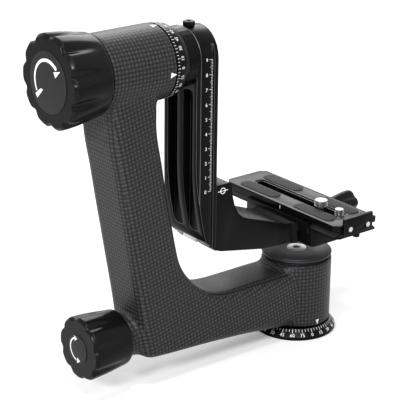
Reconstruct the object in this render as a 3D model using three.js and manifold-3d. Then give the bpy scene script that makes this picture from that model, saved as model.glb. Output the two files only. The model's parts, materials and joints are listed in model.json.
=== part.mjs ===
// Gimbal tripod head: a carbon C-frame turns on a round base, a swing arm tilts on the
// frame's upper barrel, and a cradle with a quick-release clamp slides along the swing arm.
// Millimetres, +Z up. The origin is the centre of the base's underside, on the pan axis.
// The tilt axis runs along X, and the clamped plate runs along Y.
import * as THREE from "three";
import { mergeVertices } from "three/addons/utils/BufferGeometryUtils.js";
import Module from "manifold-3d";

const wasm = await Module();
wasm.setup();

// Gaps and cuts
const fit = 0.2; // between two pieces fixed to each other
const running = 0.3; // between two pieces that move on each other
const overrun = 3; // how far a cut runs past the surface that it opens

// Places of the axes: the pan axis is at the origin
const frameReach = 153.8; // from the pan axis to the middle of the barrel
const tiltHeight = 221;
const lockHeight = 36; // of the pan lock's knob and rod

// Base: a coned degree ring round a steel spindle
const baseRadius = 29.7;
const baseBand = 2.2;
const baseEdge = 0.5;
const baseTopRadius = 25.6;
const baseHeight = 7.4;
const socketRadius = 4.76; // 3/8 inch tripod thread
const insertWall = 2.2;
const insertInset = 0.4;
const spindleFlangeRadius = 19;
const spindleFlange = 3.2;
const spindleRadius = 9;
const socketRelief = 10; // free depth above the insert for a long tripod screw

// Pan hub of the frame
const hubRadius = 25.3;
const hubGap = 0.6; // above the degree ring
const hubHeight = 47.6;
const hubEdge = 0.8;
const bushWall = 5.5;
const panBushLength = 8;

// Cap on the spindle
const capInset = 0.1; // of the cap's rim from the hub's side
const capLip = 1.9;
const capNeck = 2.7;
const capEdge = 1;
const capNeckInset = 2.4;
const shimWidth = 1.2;
const shimThickness = 0.6;
const capScrewHead = 7;
const capScrewHeadHeight = 1.5;
const capScrewSunk = 1.4; // depth of the screw's seat in the cap
const capScrewRadius = 3;
const capScrewLength = 12;
const capScrewHex = 2.9; // corner radius of the hexagon socket

// Frame and the barrel at its top
const frameHalfWidth = 20; // along Y, of both legs
const frameCorner = 8;
const legDepth = 36; // across a leg in the plane of the frame
const barrelRadius = 25;
const barrelLength = 48.4;
const barrelWall = 3.5;
const barrelEdge = 0.8;

// Tilt shaft and what sits on it between the barrel and the swing arm
const shaftRadius = 14;
const shaftInset = 8.8; // of the shaft's end from the barrel's outer face
const tiltBushLength = 10;
const tiltRingGap = 0.5;
const tiltRingLength = 8;
const tiltRingRadius = 24.8;
const tiltRingTaper = 1.1;
const tiltConeLength = 5;
const tiltConeRadius = 23.2;
const tiltConeTaper = 3;
const shaftFlange = 7.8;
const shaftFlangeRadius = 20.2;

// Locks: the nut plate and collar, the rods that run in them and the pads that they press
const rodRadius = 4;
const nutPlate = 5;
const tiltPadRadius = 13;
const tiltPadThickness = 2.2;
const padTravel = 0.56;
const collarRadius = 10;
const collarLength = 8.1;
const collarSeat = 3; // how deep the collar sits past the frame's outer face
const lockBossRadius = 15.2; // of the frame's boss round the collar
const lockBossInset = 0.4; // of the boss's face from the collar's
const lockBossRoot = 6; // how deep the boss runs into the leg
const shoeRadius = 5;
const shoeLength = 15;

// Lobed lock knobs
const knobGap = 1.1; // behind a lock knob
const tiltKnobLength = 30.7;
const tiltKnobRadius = 30.3;
const tiltKnobDisc = 19.6;
const panKnobLength = 31.4;
const panKnobRadius = 21.8;
const panKnobDisc = 10;
const discThickness = 2;
const discProud = 0.6;

// Swing arm, hung from the shaft's flange, with a dovetail rail on its inner face
const armThickness = 16.3;
const armHalfWidth = 19;
const armFootRise = 10.6; // of its foot above the clamp seat's underside
const armChamfer = 2;
const armRunout = 71; // below the tilt axis, where the outer face starts to bend to the rail
const armToeInset = 7.7;
const armToeRise = 8.2;
const railThickness = 3.2;
const railGroove = 1.5;
const railGrooveDepth = 2.6;
const pocketDepth = 6.5;
const pocketDrop = 20.5; // from the tilt axis to the pockets' tops
const pocketFoot = 14.4; // from the arm's foot to the pockets
const pocketRim = 5.8; // from the arm's side to a pocket
const pocketRib = 5.8;
const pocketCorner = 3;
const slotHalfWidth = 4;
const slotCavityHalf = 7.5;
const slotCavityDepth = 4.2;
const slotRise = 10; // of the runner's slot above the tilt axis
const armScrewHead = 4;
const armScrewHeadHeight = 3;
const armScrewRadius = 2;
const armScrewLength = 9;

// Quick-release plate
const plateHalfWidth = 18.5;
const plateHalfLength = 59;
const plateCorner = 3.6;
const plateFlange = 4.4;
const plateNeck = 1.2;
const plateUndercut = 3; // of the 45 degree dovetail
const plateTail = 1.2;
const plateTailInset = 0.3;
const plateSlotHalf = 3.2;
const plateSlotFront = 45.6;
const plateSlotRear = 43.5;
const plateLedge = 1.4;
const plateLedgeDepth = 0.8;
const headRecess = 2.6; // of the recess under the slot, past the slot's side
const headRecessDepth = 3.8;
const padHalfWidth = 4;
const padX = 10.8;
const padInnerY = 9.6;
const padOuterY = 47.6;
const padRecess = 0.6;
const padProud = 0.5;
const blockHalfWidth = 13.2;
const blockThickness = 2.3;
const blockRise = 5.1; // of the end block above the plate
const blockDrop = 6.8; // of its foot below the plate's top
const blockScrewX = 8.2;
const blockScrewDrop = 2.8;
const blockScrewHead = 1.8;
const blockScrewHeadHeight = 0.7;
const blockScrewRadius = 0.9;
const blockScrewLength = 7;
const stopScrewX = 7.5;
const stopScrewInset = 7; // from the plate's end
const stopScrewHead = 2.4;
const stopScrewDrop = 5;
const stopScrewRadius = 1.4;
const stopScrewLength = 5;
const cameraScrewHead = 5.2;
const cameraScrewHeadHeight = 2;
const cameraWasher = 1;
const cameraNeck = 2.9;
const bigScrewY = -23.5;
const bigScrewRadius = 4.76; // 3/8 inch
const bigScrewHeight = 5.2;
const smallScrewY = -42;
const smallScrewRadius = 3.17; // 1/4 inch
const smallScrewHeight = 4;
const smallScrewCollar = 0.8;
const smallScrewCollarHeight = 0.9;
const screwTip = 0.8;
const coinSlot = 1.2;
const coinSlotDepth = 1.4;

// Cradle: a carriage on the arm's rail, a beam, and a wide seat with the fixed jaw
const carriageHeight = 42.4; // above the beam's top
const carriageThickness = 12.4;
const carriageBevel = 1.8;
const beamHalfWidth = 19;
const beamRise = 2.3; // of the beam's top above the seat's floor
const beamHeel = 11; // how much higher the beam's underside is at the carriage
const seatRise = 15.5; // of the seat's underside above the hub's cap, with the cradle at its lowest
const seatDepth = 12.7;
const seatHalfWidth = 17.6;
const seatHalfLength = 35;
const seatCorner = 3;
const jawRise = 5.2; // of both jaws above the seat's floor
const jawLand = 0.8;
const jawDrop = 3; // of the fixed jaw's foot below the seat's floor
const fixedJawWall = 1.9;
const bossRadius = 3.6;
const bossInset = 0.45; // of the boss's centre from the jaw's face and from the beam's side

// Moving jaw of the clamp, its pins and its screw
const movingJawWall = 7.9;
const movingJawHalf = 30;
const movingJawLift = 1; // of its foot above the seat's
const pinRadius = 2;
const pinY = 20;
const pinDrop = 6.7; // below the seat's floor
const pinSeat = 18;
const clampDrop = 5.3; // of the clamp screw's axis below the seat's floor
const clampRodRadius = 3;
const clampRodReach = 22; // into the seat
const clampWasher = 2.4;
const clampWasherRadius = 7;
const clampKnobLength = 23;
const clampKnobRadius = 9.6;

// Runner in the arm's slot and the lock that holds the cradle's height
const runnerLength = 38;
const runnerDrop = 4.4; // of the runner's top below the carriage's top
const runnerSeat = 2;
const runnerScrewDrop = 4.9; // of the upper screw below the carriage's top
const runnerScrewPitch = 10.5;
const runnerScrewHead = 3.5;
const runnerScrewHeadHeight = 3;
const runnerScrewRadius = 1.7;
const heightKnobDrop = 23.4; // below the carriage's top
const heightKnobLength = 15;
const heightKnobRadius = 8.6;
const heightKnobNeck = 4.5;
const heightKnobNeckLength = 3;
const heightStemRadius = 2.5;
const heightPadRadius = 3;
const heightPadY = 10;
const heightPadLength = 7.2;
const heightPadGap = 0.8;

// Places that follow from the sizes above
const hubBottom = baseHeight + hubGap;
const hubTop = hubBottom + hubHeight;
const hubBore = spindleRadius + running + bushWall + fit;
const capTop = hubTop + running + capNeck + capLip;
const barrelBore = barrelRadius - barrelWall;
const barrelOuterX = -frameReach - barrelLength / 2;
const barrelInnerX = -frameReach + barrelLength / 2;
const shaftOuterX = barrelOuterX + shaftInset;
const tiltRingX = barrelInnerX + tiltRingGap;
const tiltConeX = tiltRingX + tiltRingLength + fit;
const flangeX = tiltConeX + tiltConeLength + fit;
const armOuterX = flangeX + shaftFlange + fit;
const armInnerX = armOuterX + armThickness;
const railX = armInnerX - railThickness;
const grooveX = railX - railGroove;
const armTopZ = tiltHeight + armHalfWidth;
const seatFoot = capTop + seatRise;
const armFootZ = seatFoot + armFootRise;
const seatFloor = seatFoot + seatDepth;
const plateFoot = seatFloor + running;
const plateTop = plateFoot + plateTail + plateUndercut + plateNeck + plateFlange;
const plateTailHalf = plateHalfWidth - plateTailInset;
const plateNeckHalf = plateTailHalf - plateUndercut;
const jawFoot = plateTailHalf + running + fit;
const jawTip = plateNeckHalf + running + running + fit;
const jawShoulder = plateFoot + plateTail + fit;
const jawTop = seatFloor + jawRise;
const fixedJawX = -jawFoot - fixedJawWall;
const movingJawX = jawFoot + movingJawWall;
const clampAxisZ = seatFloor - clampDrop;
const carriageX = armInnerX + running;
const carriageFaceX = carriageX + carriageThickness;
const beamTop = seatFloor + beamRise;
const carriageTop = beamTop + carriageHeight;
const heightAxisX = carriageX + carriageThickness / 2;
const heightAxisZ = carriageTop - heightKnobDrop;
const padStartX = armInnerX + heightPadGap; // of the height lock's pad
const padEndX = shaftOuterX - running - padTravel; // of the tilt lock's pad

// Sections of the frame from the barrel down to the elbow, and from the elbow along to the hub.
// Each is the section's outer edge, as shares of the barrel's outer reach and of the tilt axis's
// or the hub's height, and then the way across to its inner edge, as shares of a leg's depth.
const uprightShares = [
  [0.994, 1.023, 1.056, 0], [0.99, 0.905, 1.056, 0.083], [0.978, 0.796, 1, 0.111], [0.955, 0.697, 1, 0.083],
  [0.934, 0.597, 1, 0.083], [0.913, 0.502, 1.006, 0.139], [0.892, 0.407, 1.008, 0.222],
  [0.872, 0.317, 1.006, 0.403], [0.855, 0.235, 1.075, 0.625], [0.845, 0.167, 1.219, 0.819],
];
const lowerLegShares = [
  [0.838, 0.442, 1.367, 0.997], [0.818, 0.385, 1.35, 1.033], [0.778, 0.367, 1.264, 0.989], [0.685, 0.345, 1.042, 0.936],
  [0.579, 0.324, 0.778, 0.933], [0.461, 0.293, 0.5, 0.975], [0.337, 0.255, 0.278, 1.033],
  [0.213, 0.205, 0.111, 1.111], [0.112, 0.169, 0, 1.167], [0.045, 0.162, 0, 1.178],
];
const lockSeatShare = 0.847; // of the outer reach, the frame's outer face at the pan lock

// The cradle's inner bend, as shares of the way from the carriage to the fixed jaw and of the
// carriage's height above the beam
const cradleBendShares = [
  [0.028, 0.731], [0.059, 0.578], [0.114, 0.434], [0.188, 0.344], [0.285, 0.288], [0.561, 0.16], [0.82, 0.024],
  [0.864, 0],
];
// Its underside, as shares of the way from the seat back to the carriage and of the heel's rise
const cradleFootShares = [[0.28, 0.09], [0.443, 0.18], [0.939, 0.845], [1, 1]];

// Facets
const coarse = 18;
const medium = 32;
const fine = 44;
const lobeSteps = 5; // points of a knob's outline for each lobe
const manyLobeSteps = 4; // where a knob has many lobes
const hexSides = 6;
const archSteps = 14;
const bendSteps = 5;

const finishes = {
  carbon: new THREE.MeshStandardMaterial({ color: 0x26272a, roughness: 0.45, metalness: 0.1 }),
  anodised: new THREE.MeshStandardMaterial({ color: 0x1e1f21, roughness: 0.42, metalness: 0.6 }),
  plate: new THREE.MeshStandardMaterial({ color: 0x2a2b2d, roughness: 0.5, metalness: 0.6 }),
  knob: new THREE.MeshStandardMaterial({ color: 0x1a1a1b, roughness: 0.5, metalness: 0.3 }),
  disc: new THREE.MeshStandardMaterial({ color: 0x3d3e40, roughness: 0.6, metalness: 0.4 }),
  steel: new THREE.MeshStandardMaterial({ color: 0xc9cacc, roughness: 0.28, metalness: 1 }),
  brass: new THREE.MeshStandardMaterial({ color: 0xb08d4c, roughness: 0.35, metalness: 1 }),
  rubber: new THREE.MeshStandardMaterial({ color: 0x2f2f30, roughness: 0.85, metalness: 0 }),
  polymer: new THREE.MeshStandardMaterial({ color: 0x3a3a3c, roughness: 0.6, metalness: 0 }),
};

const alongX = new THREE.Matrix4().makeBasis(
  new THREE.Vector3(0, 1, 0), new THREE.Vector3(0, 0, 1), new THREE.Vector3(1, 0, 0));
const alongY = new THREE.Matrix4().makeBasis(
  new THREE.Vector3(1, 0, 0), new THREE.Vector3(0, 0, 1), new THREE.Vector3(0, -1, 0));

// Merges a geometry's shared corners, drops flat triangles and turns its faces outward
function toSolid(geometry) {
  const bare = new THREE.BufferGeometry();
  bare.setAttribute("position", geometry.getAttribute("position").clone());
  if (geometry.index) bare.setIndex(geometry.index.clone());
  const merged = mergeVertices(bare);
  const corners = merged.getAttribute("position");
  const index = merged.index.array;
  const a = new THREE.Vector3();
  const b = new THREE.Vector3();
  const c = new THREE.Vector3();
  const triangles = [];
  let volume = 0;
  for (let i = 0; i < index.length; i += 3) {
    const [p, q, r] = [index[i], index[i + 1], index[i + 2]];
    if (p === q || q === r || r === p) continue;
    triangles.push([p, q, r]);
    a.fromBufferAttribute(corners, p);
    b.fromBufferAttribute(corners, q);
    c.fromBufferAttribute(corners, r);
    volume += a.dot(b.cross(c));
  }
  const outward = volume < 0 ? triangles.map(([p, q, r]) => [p, r, q]) : triangles;
  return new wasm.Manifold(new wasm.Mesh({
    numProp: 3,
    vertProperties: new Float32Array(corners.array),
    triVerts: new Uint32Array(outward.flat()),
  }));
}

function toMesh(name, solid, material) {
  const mesh = solid.getMesh();
  const geometry = new THREE.BufferGeometry();
  geometry.setAttribute("position", new THREE.BufferAttribute(new Float32Array(mesh.vertProperties), 3));
  geometry.setIndex(new THREE.BufferAttribute(new Uint32Array(mesh.triVerts), 1));
  geometry.computeVertexNormals();
  const part = new THREE.Mesh(geometry, material);
  part.name = name;
  return part;
}

const along = (direction, value) =>
  new THREE.Vector3(direction === "x" ? value : 0, direction === "y" ? value : 0, direction === "z" ? value : 0);

function moved(geometry, x, y, z) {
  return geometry.translate(x, y, z);
}

// Turns a closed profile of [radius, distance along the axis] about an axis through (x, y, z)
function revolve(profile, segments, axis, x = 0, y = 0, z = 0) {
  const points = profile.map(([radius, distance]) => new THREE.Vector2(radius, distance));
  points.push(points[0].clone());
  const geometry = new THREE.LatheGeometry(points, segments);
  if (axis === "x") geometry.rotateZ(-Math.PI / 2);
  if (axis === "z") geometry.rotateX(Math.PI / 2);
  return toSolid(moved(geometry, x, y, z));
}

// A plain cylinder between two distances along an axis
function rod(radius, from, to, segments, axis, x = 0, y = 0, z = 0) {
  return revolve([[0, from], [radius, from], [radius, to], [0, to]], segments, axis, x, y, z);
}

function ringBetween(inner, outer, from, to, segments, axis, x = 0, y = 0, z = 0) {
  return revolve([[inner, from], [outer, from], [outer, to], [inner, to]], segments, axis, x, y, z);
}

// Skins a row of closed rings with the same number of points and closes both ends
function loft(rings) {
  const count = rings[0].length;
  const positions = rings.flat().flatMap((point) => point.toArray());
  const index = [];
  for (let ring = 0; ring + 1 < rings.length; ring++) {
    for (let i = 0; i < count; i++) {
      const here = ring * count + i;
      const next = ring * count + ((i + 1) % count);
      index.push(here, next, next + count, here, next + count, here + count);
    }
  }
  const ends = [[rings[0], 0, false], [rings[rings.length - 1], (rings.length - 1) * count, true]];
  for (const [ring, start, last] of ends) {
    const middle = ring.reduce((sum, point) => sum.add(point), new THREE.Vector3()).divideScalar(count);
    const hub = positions.length / 3;
    positions.push(...middle.toArray());
    for (let i = 0; i < count; i++) {
      const [here, next] = [start + i, start + ((i + 1) % count)];
      index.push(...(last ? [hub, here, next] : [hub, next, here]));
    }
  }
  const geometry = new THREE.BufferGeometry();
  geometry.setAttribute("position", new THREE.Float32BufferAttribute(positions, 3));
  geometry.setIndex(index);
  return toSolid(geometry);
}

// An outline with optional holes, pushed along an axis between two distances
function extrude(outline, from, to, axis) {
  const shape = new THREE.Shape(outline.map(([u, v]) => new THREE.Vector2(u, v)));
  const geometry = new THREE.ExtrudeGeometry(shape, { depth: to - from, bevelEnabled: false });
  geometry.translate(0, 0, from);
  if (axis === "x") geometry.applyMatrix4(alongX);
  if (axis === "y") {
    geometry.applyMatrix4(alongY);
    geometry.translate(0, from + to, 0);
  }
  return toSolid(geometry);
}

function block(x0, x1, y0, y1, z0, z1) {
  const geometry = new THREE.BoxGeometry(x1 - x0, y1 - y0, z1 - z0);
  return toSolid(moved(geometry, (x0 + x1) / 2, (y0 + y1) / 2, (z0 + z1) / 2));
}

// Corners of a rectangle with round corners, anticlockwise
function roundedOutline(u0, u1, v0, v1, radius, steps = 4) {
  const points = [];
  const centres = [
    [u1 - radius, v1 - radius], [u0 + radius, v1 - radius], [u0 + radius, v0 + radius], [u1 - radius, v0 + radius],
  ];
  centres.forEach(([u, v], corner) => {
    for (let step = 0; step <= steps; step++) {
      const angle = (Math.PI / 2) * (corner + step / steps);
      points.push([u + radius * Math.cos(angle), v + radius * Math.sin(angle)]);
    }
  });
  return points;
}

// A bar with two half-round ends, its length along v
function stadium(centreU, half, v0, v1, steps = 6) {
  const points = [];
  for (const [centreV, start] of [[v1 - half, 0], [v0 + half, Math.PI]]) {
    for (let step = 0; step <= steps; step++) {
      const angle = start + (Math.PI * step) / steps;
      points.push([centreU + half * Math.cos(angle), centreV + half * Math.sin(angle)]);
    }
  }
  return points;
}

// A knob with round lobes and scooped flutes between them. Stations are shares of its length
// and radius, from the open face back to the frame, and of the flutes' full depth.
const knobStationShares = [
  [0, 0.9, 0.5], [0.06, 1, 1], [0.28, 0.99, 0.85], [0.82, 0.9, 0.15], [0.95, 0.88, 0], [1, 0.85, 0],
];
const tiltKnobLobes = { lobes: 10, steps: manyLobeSteps, turn: 0, depthShare: 0.095, sharpness: 3.4 };
const panKnobLobes = { lobes: 8, steps: lobeSteps, turn: 7, depthShare: 0.095, sharpness: 3.4 };
const starLobes = { lobes: 5, steps: lobeSteps, turn: 18, depthShare: 0.2, sharpness: 1.3 };

function lobedRing(radius, depth, form, place) {
  const ring = [];
  const steps = form.lobes * form.steps;
  for (let i = 0; i < steps; i++) {
    const angle = (2 * Math.PI * i) / steps;
    const scoop = ((1 - Math.cos(form.lobes * angle)) / 2) ** form.sharpness;
    const r = radius - depth * scoop;
    const turned = angle + THREE.MathUtils.degToRad(form.turn);
    ring.push(place(r * Math.cos(turned), r * Math.sin(turned)));
  }
  return ring;
}

function lobedKnob(radius, length, form, place) {
  return loft(knobStationShares.map(([lengthShare, radiusShare, depthShare]) =>
    lobedRing(radius * radiusShare, radius * form.depthShare * depthShare, form,
      (u, v) => place(u, v, length * lengthShare))));
}

function basePieces() {
  const bore = socketRadius + insertWall + fit;
  const ring = revolve([
    [bore, 0], [baseRadius - baseEdge, 0], [baseRadius, baseEdge], [baseRadius, baseBand],
    [baseTopRadius, baseHeight], [bore, baseHeight],
  ], fine, "z");
  const insert = ringBetween(socketRadius, socketRadius + insertWall, insertInset, baseHeight - fit, medium, "z");
  const seat = baseHeight + fit;
  const top = hubTop + running - fit;
  const spindle = revolve([
    [socketRadius, seat], [spindleFlangeRadius, seat], [spindleFlangeRadius, seat + spindleFlange],
    [spindleRadius, seat + spindleFlange], [spindleRadius, top],
    [capScrewRadius + fit, top], [capScrewRadius + fit, top - capScrewLength - fit],
    [0, top - capScrewLength - fit], [0, seat + socketRelief], [socketRadius, seat + socketRelief],
  ], coarse, "z");
  return [
    toMesh("base_ring", ring, finishes.anodised),
    toMesh("thread_insert", insert, finishes.brass),
    toMesh("pan_spindle", spindle, finishes.steel),
  ];
}

function capPieces() {
  const neckFoot = hubTop + running;
  const lipFoot = neckFoot + capNeck;
  const bore = capScrewRadius + fit;
  const rim = hubRadius - capInset;
  const neck = rim - capNeckInset;
  const cap = revolve([
    [bore, neckFoot], [neck, neckFoot], [neck, lipFoot], [rim, lipFoot], [rim, capTop - capEdge],
    [rim - capEdge, capTop], [capScrewHead + fit, capTop], [capScrewHead + fit, capTop - capScrewSunk],
    [bore, capTop - capScrewSunk],
  ], fine, "z");
  const shimZ = (neckFoot + lipFoot - shimThickness) / 2;
  const shim = ringBetween(neck + fit, neck + fit + shimWidth, shimZ, shimZ + shimThickness, medium, "z");
  const headFoot = capTop - capScrewSunk + fit;
  const headTop = headFoot + capScrewHeadHeight;
  const screw = revolve([
    [0, neckFoot - capScrewLength], [capScrewRadius, neckFoot - capScrewLength], [capScrewRadius, headFoot],
    [capScrewHead, headFoot], [capScrewHead, headTop], [0, headTop],
  ], medium, "z").subtract(rod(capScrewHex, headFoot, headTop + overrun, hexSides, "z"));
  return [
    toMesh("hub_cap", cap, finishes.anodised),
    toMesh("cap_shim", shim, finishes.anodised),
    toMesh("cap_screw", screw, finishes.steel),
  ];
}

// The frame's two legs, a rounded section carried along the stations, with the hub, the barrel
// and the boss of the pan lock
function frameBody() {
  const heights = [...uprightShares.map(() => tiltHeight), ...lowerLegShares.map(() => hubTop)];
  const rings = [...uprightShares, ...lowerLegShares].map(([xShare, zShare, acrossShare, riseShare], i) => {
    const from = new THREE.Vector3(barrelOuterX * xShare, 0, heights[i] * zShare);
    const to = from.clone().add(new THREE.Vector3(legDepth * acrossShare, 0, legDepth * riseShare));
    const half = from.distanceTo(to) / 2;
    const middle = from.clone().add(to).divideScalar(2);
    const across = to.clone().sub(from).normalize();
    return roundedOutline(-half, half, -frameHalfWidth, frameHalfWidth, frameCorner).map(([u, v]) =>
      middle.clone().addScaledVector(across, u).add(along("y", v)));
  });
  const hub = revolve([
    [0, hubBottom], [hubRadius - hubEdge, hubBottom], [hubRadius, hubBottom + hubEdge],
    [hubRadius, hubTop - hubEdge], [hubRadius - hubEdge, hubTop], [0, hubTop],
  ], fine, "z");
  const barrel = revolve([
    [0, barrelOuterX], [barrelRadius - barrelEdge, barrelOuterX], [barrelRadius, barrelOuterX + barrelEdge],
    [barrelRadius, barrelInnerX - barrelEdge], [barrelRadius - barrelEdge, barrelInnerX], [0, barrelInnerX],
  ], fine, "x", 0, 0, tiltHeight);
  const flangeRoom = baseHeight + fit + spindleFlange + running;
  const footX = barrelOuterX * lockSeatShare;
  const bossX = footX - collarLength + lockBossInset;
  const boss = revolve([
    [0, bossX], [lockBossRadius - barrelEdge, bossX], [lockBossRadius, bossX + barrelEdge],
    [lockBossRadius, footX + lockBossRoot], [0, footX + lockBossRoot],
  ], medium, "x", 0, 0, lockHeight);
  const body = loft(rings).add(hub).add(barrel).add(boss)
    .subtract(rod(hubBore, hubBottom - overrun, hubTop + overrun, medium, "z"))
    .subtract(rod(spindleFlangeRadius + running, hubBottom - overrun, flangeRoom, medium, "z"))
    .subtract(rod(barrelBore, barrelOuterX - overrun, barrelInnerX + overrun, medium, "x", 0, 0, tiltHeight))
    .subtract(rod(shoeRadius + running, footX - overrun, 0, coarse, "x", 0, 0, lockHeight))
    .subtract(rod(collarRadius + fit, footX - collarLength, footX + collarSeat + fit, medium, "x",
      0, 0, lockHeight));
  return toMesh("arm_body", body, finishes.carbon);
}

function bushes() {
  const lower = baseHeight + fit + spindleFlange + running;
  const upper = hubTop - panBushLength - running;
  const tiltInner = shaftRadius + running;
  const tiltOuter = barrelBore - fit;
  const panBush = (name, z) => toMesh(name, ringBetween(spindleRadius + running, hubBore - fit,
    z, z + panBushLength, coarse, "z"), finishes.polymer);
  const tiltBush = (name, x) => toMesh(name, ringBetween(tiltInner, tiltOuter,
    x, x + tiltBushLength, coarse, "x", 0, 0, tiltHeight), finishes.polymer);
  return [
    panBush("pan_bush_lower", lower),
    panBush("pan_bush_upper", upper),
    tiltBush("tilt_bush_outer", barrelOuterX + nutPlate + fit),
    tiltBush("tilt_bush_inner", barrelInnerX - tiltBushLength),
  ];
}

// Lobed knob on a steel rod, with a flat disc let into its open face
function lockKnob(prefix, faceX, length, radius, disc, axisZ, rodEnd, form) {
  const place = (u, v, w) => new THREE.Vector3(faceX + w, u, axisZ + v);
  const bore = rodRadius + fit;
  const seat = discThickness - discProud;
  const rodStart = faceX + length / 4;
  const knob = lobedKnob(radius, length, form, place)
    .subtract(rod(disc + fit, faceX - overrun, faceX + seat, medium, "x", 0, 0, axisZ))
    .subtract(rod(bore, rodStart - fit, faceX + length + overrun, coarse, "x", 0, 0, axisZ));
  const cover = rod(disc, faceX - discProud, faceX + seat - fit, medium, "x", 0, 0, axisZ);
  const stem = rod(rodRadius, rodStart, rodEnd, coarse, "x", 0, 0, axisZ);
  return [
    toMesh(prefix + "_knob", knob, finishes.knob),
    toMesh(prefix + "_knob_disc", cover, finishes.disc),
    toMesh(prefix + "_rod", stem, finishes.steel),
  ];
}

function tiltLock() {
  const nut = ringBetween(rodRadius + running, barrelBore - fit, barrelOuterX + fit,
    barrelOuterX + nutPlate, coarse, "x", 0, 0, tiltHeight);
  const padStart = padEndX - tiltPadThickness;
  const pad = rod(tiltPadRadius, padStart, padEndX, coarse, "x", 0, 0, tiltHeight);
  return [
    toMesh("tilt_lock_nut", nut, finishes.anodised),
    toMesh("tilt_brake_pad", pad, finishes.brass),
    ...lockKnob("tilt", barrelOuterX - knobGap - tiltKnobLength, tiltKnobLength, tiltKnobRadius, tiltKnobDisc,
      tiltHeight, padStart - running, tiltKnobLobes),
  ];
}

function panLock() {
  const shoeEnd = -(spindleRadius + running + padTravel);
  const shoeStart = shoeEnd - shoeLength;
  const footX = barrelOuterX * lockSeatShare;
  const collarX = footX - collarLength;
  const collar = ringBetween(rodRadius + running, collarRadius, collarX, footX + collarSeat,
    medium, "x", 0, 0, lockHeight);
  const shoe = rod(shoeRadius, shoeStart, 0, coarse, "x", 0, 0, lockHeight)
    .subtract(rod(-shoeEnd, lockHeight - shoeRadius - overrun, lockHeight + shoeRadius + overrun, medium, "z"));
  return [
    toMesh("pan_lock_collar", collar, finishes.anodised),
    toMesh("pan_brake_shoe", shoe, finishes.brass),
    ...lockKnob("pan", collarX - knobGap - panKnobLength, panKnobLength, panKnobRadius, panKnobDisc,
      lockHeight, shoeStart - running, panKnobLobes),
  ];
}

function tiltPieces() {
  const bore = shaftRadius + fit;
  const shaft = revolve([
    [0, shaftOuterX], [shaftRadius, shaftOuterX], [shaftRadius, flangeX], [shaftFlangeRadius, flangeX],
    [shaftFlangeRadius, armOuterX - fit], [0, armOuterX - fit],
  ], medium, "x", 0, 0, tiltHeight);
  const ring = revolve([
    [bore, tiltRingX], [tiltRingRadius, tiltRingX],
    [tiltRingRadius - tiltRingTaper, tiltRingX + tiltRingLength], [bore, tiltRingX + tiltRingLength],
  ], fine, "x", 0, 0, tiltHeight);
  const cone = revolve([
    [bore, tiltConeX], [tiltConeRadius, tiltConeX],
    [tiltConeRadius - tiltConeTaper, tiltConeX + tiltConeLength], [bore, tiltConeX + tiltConeLength],
  ], fine, "x", 0, 0, tiltHeight);
  return [
    toMesh("tilt_shaft", shaft, finishes.anodised),
    toMesh("tilt_ring", ring, finishes.anodised),
    toMesh("tilt_cone", cone, finishes.anodised),
  ];
}

// Outline of the swing arm in Y and Z: a bar with a half-round top, drawn in by an inset
function armOutline(inset) {
  const half = armHalfWidth - inset;
  const points = [[-half, armFootZ + inset], [half, armFootZ + inset]];
  for (let step = 0; step <= archSteps; step++) {
    const angle = (Math.PI * step) / archSteps;
    points.push([half * Math.cos(angle), tiltHeight + half * Math.sin(angle)]);
  }
  return points;
}

function swingArm() {
  const stations = [
    [armOuterX, armChamfer], [armOuterX + armChamfer, 0], [armInnerX, 0],
  ];
  const blank = loft(stations.map(([x, inset]) =>
    armOutline(inset).map(([y, z]) => new THREE.Vector3(x, y, z))));
  const runoutZ = tiltHeight - armRunout;
  const drop = runoutZ - armFootZ - armToeRise;
  const bend = [];
  for (let step = 0; step <= bendSteps; step++) {
    const share = step / bendSteps;
    bend.push([armOuterX + armToeInset * share ** 2, runoutZ - drop * share]);
  }
  const top = armTopZ + overrun;
  const profile = [
    [armInnerX + overrun, top], [armOuterX - overrun, top], [armOuterX - overrun, runoutZ],
    ...bend, [armInnerX, armFootZ], [armInnerX + overrun, armFootZ],
  ];
  const reach = armHalfWidth + overrun;
  const pocketEnd = armOuterX + pocketDepth;
  const pocket = (y0, y1) =>
    extrude(roundedOutline(y0, y1, armFootZ + pocketFoot, tiltHeight - pocketDrop, pocketCorner),
      armOuterX - overrun, pocketEnd, "x");
  const outerY = armHalfWidth - pocketRim;
  const ribY = pocketRib / 2;
  const slotTop = tiltHeight + slotRise;
  const screwX = (armOuterX + railX) / 2;
  const groove = (y0, y1) => block(grooveX, railX, y0, y1, armFootZ - overrun, top);
  const grooveY = armHalfWidth - railGrooveDepth;
  const arm = blank.intersect(extrude(profile, -reach, reach, "y"))
    .subtract(pocket(-outerY, -ribY))
    .subtract(pocket(ribY, outerY))
    .subtract(groove(-reach, -grooveY))
    .subtract(groove(grooveY, reach))
    .subtract(block(railX - fit, armInnerX + overrun, -slotHalfWidth, slotHalfWidth, armFootZ - overrun, slotTop))
    .subtract(block(railX - slotCavityDepth, railX, -slotCavityHalf, slotCavityHalf, armFootZ - overrun, slotTop))
    .subtract(rod(armScrewRadius + fit, armTopZ - armScrewLength - fit, armTopZ + overrun, coarse, "z", screwX));
  const head = armTopZ + fit;
  const screw = revolve([
    [0, armTopZ - armScrewLength], [armScrewRadius, armTopZ - armScrewLength], [armScrewRadius, head],
    [armScrewHead, head], [armScrewHead, head + armScrewHeadHeight], [0, head + armScrewHeadHeight],
  ], coarse, "z", screwX);
  return [toMesh("swing_arm", arm, finishes.anodised), toMesh("arm_screw", screw, finishes.anodised)];
}

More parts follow.
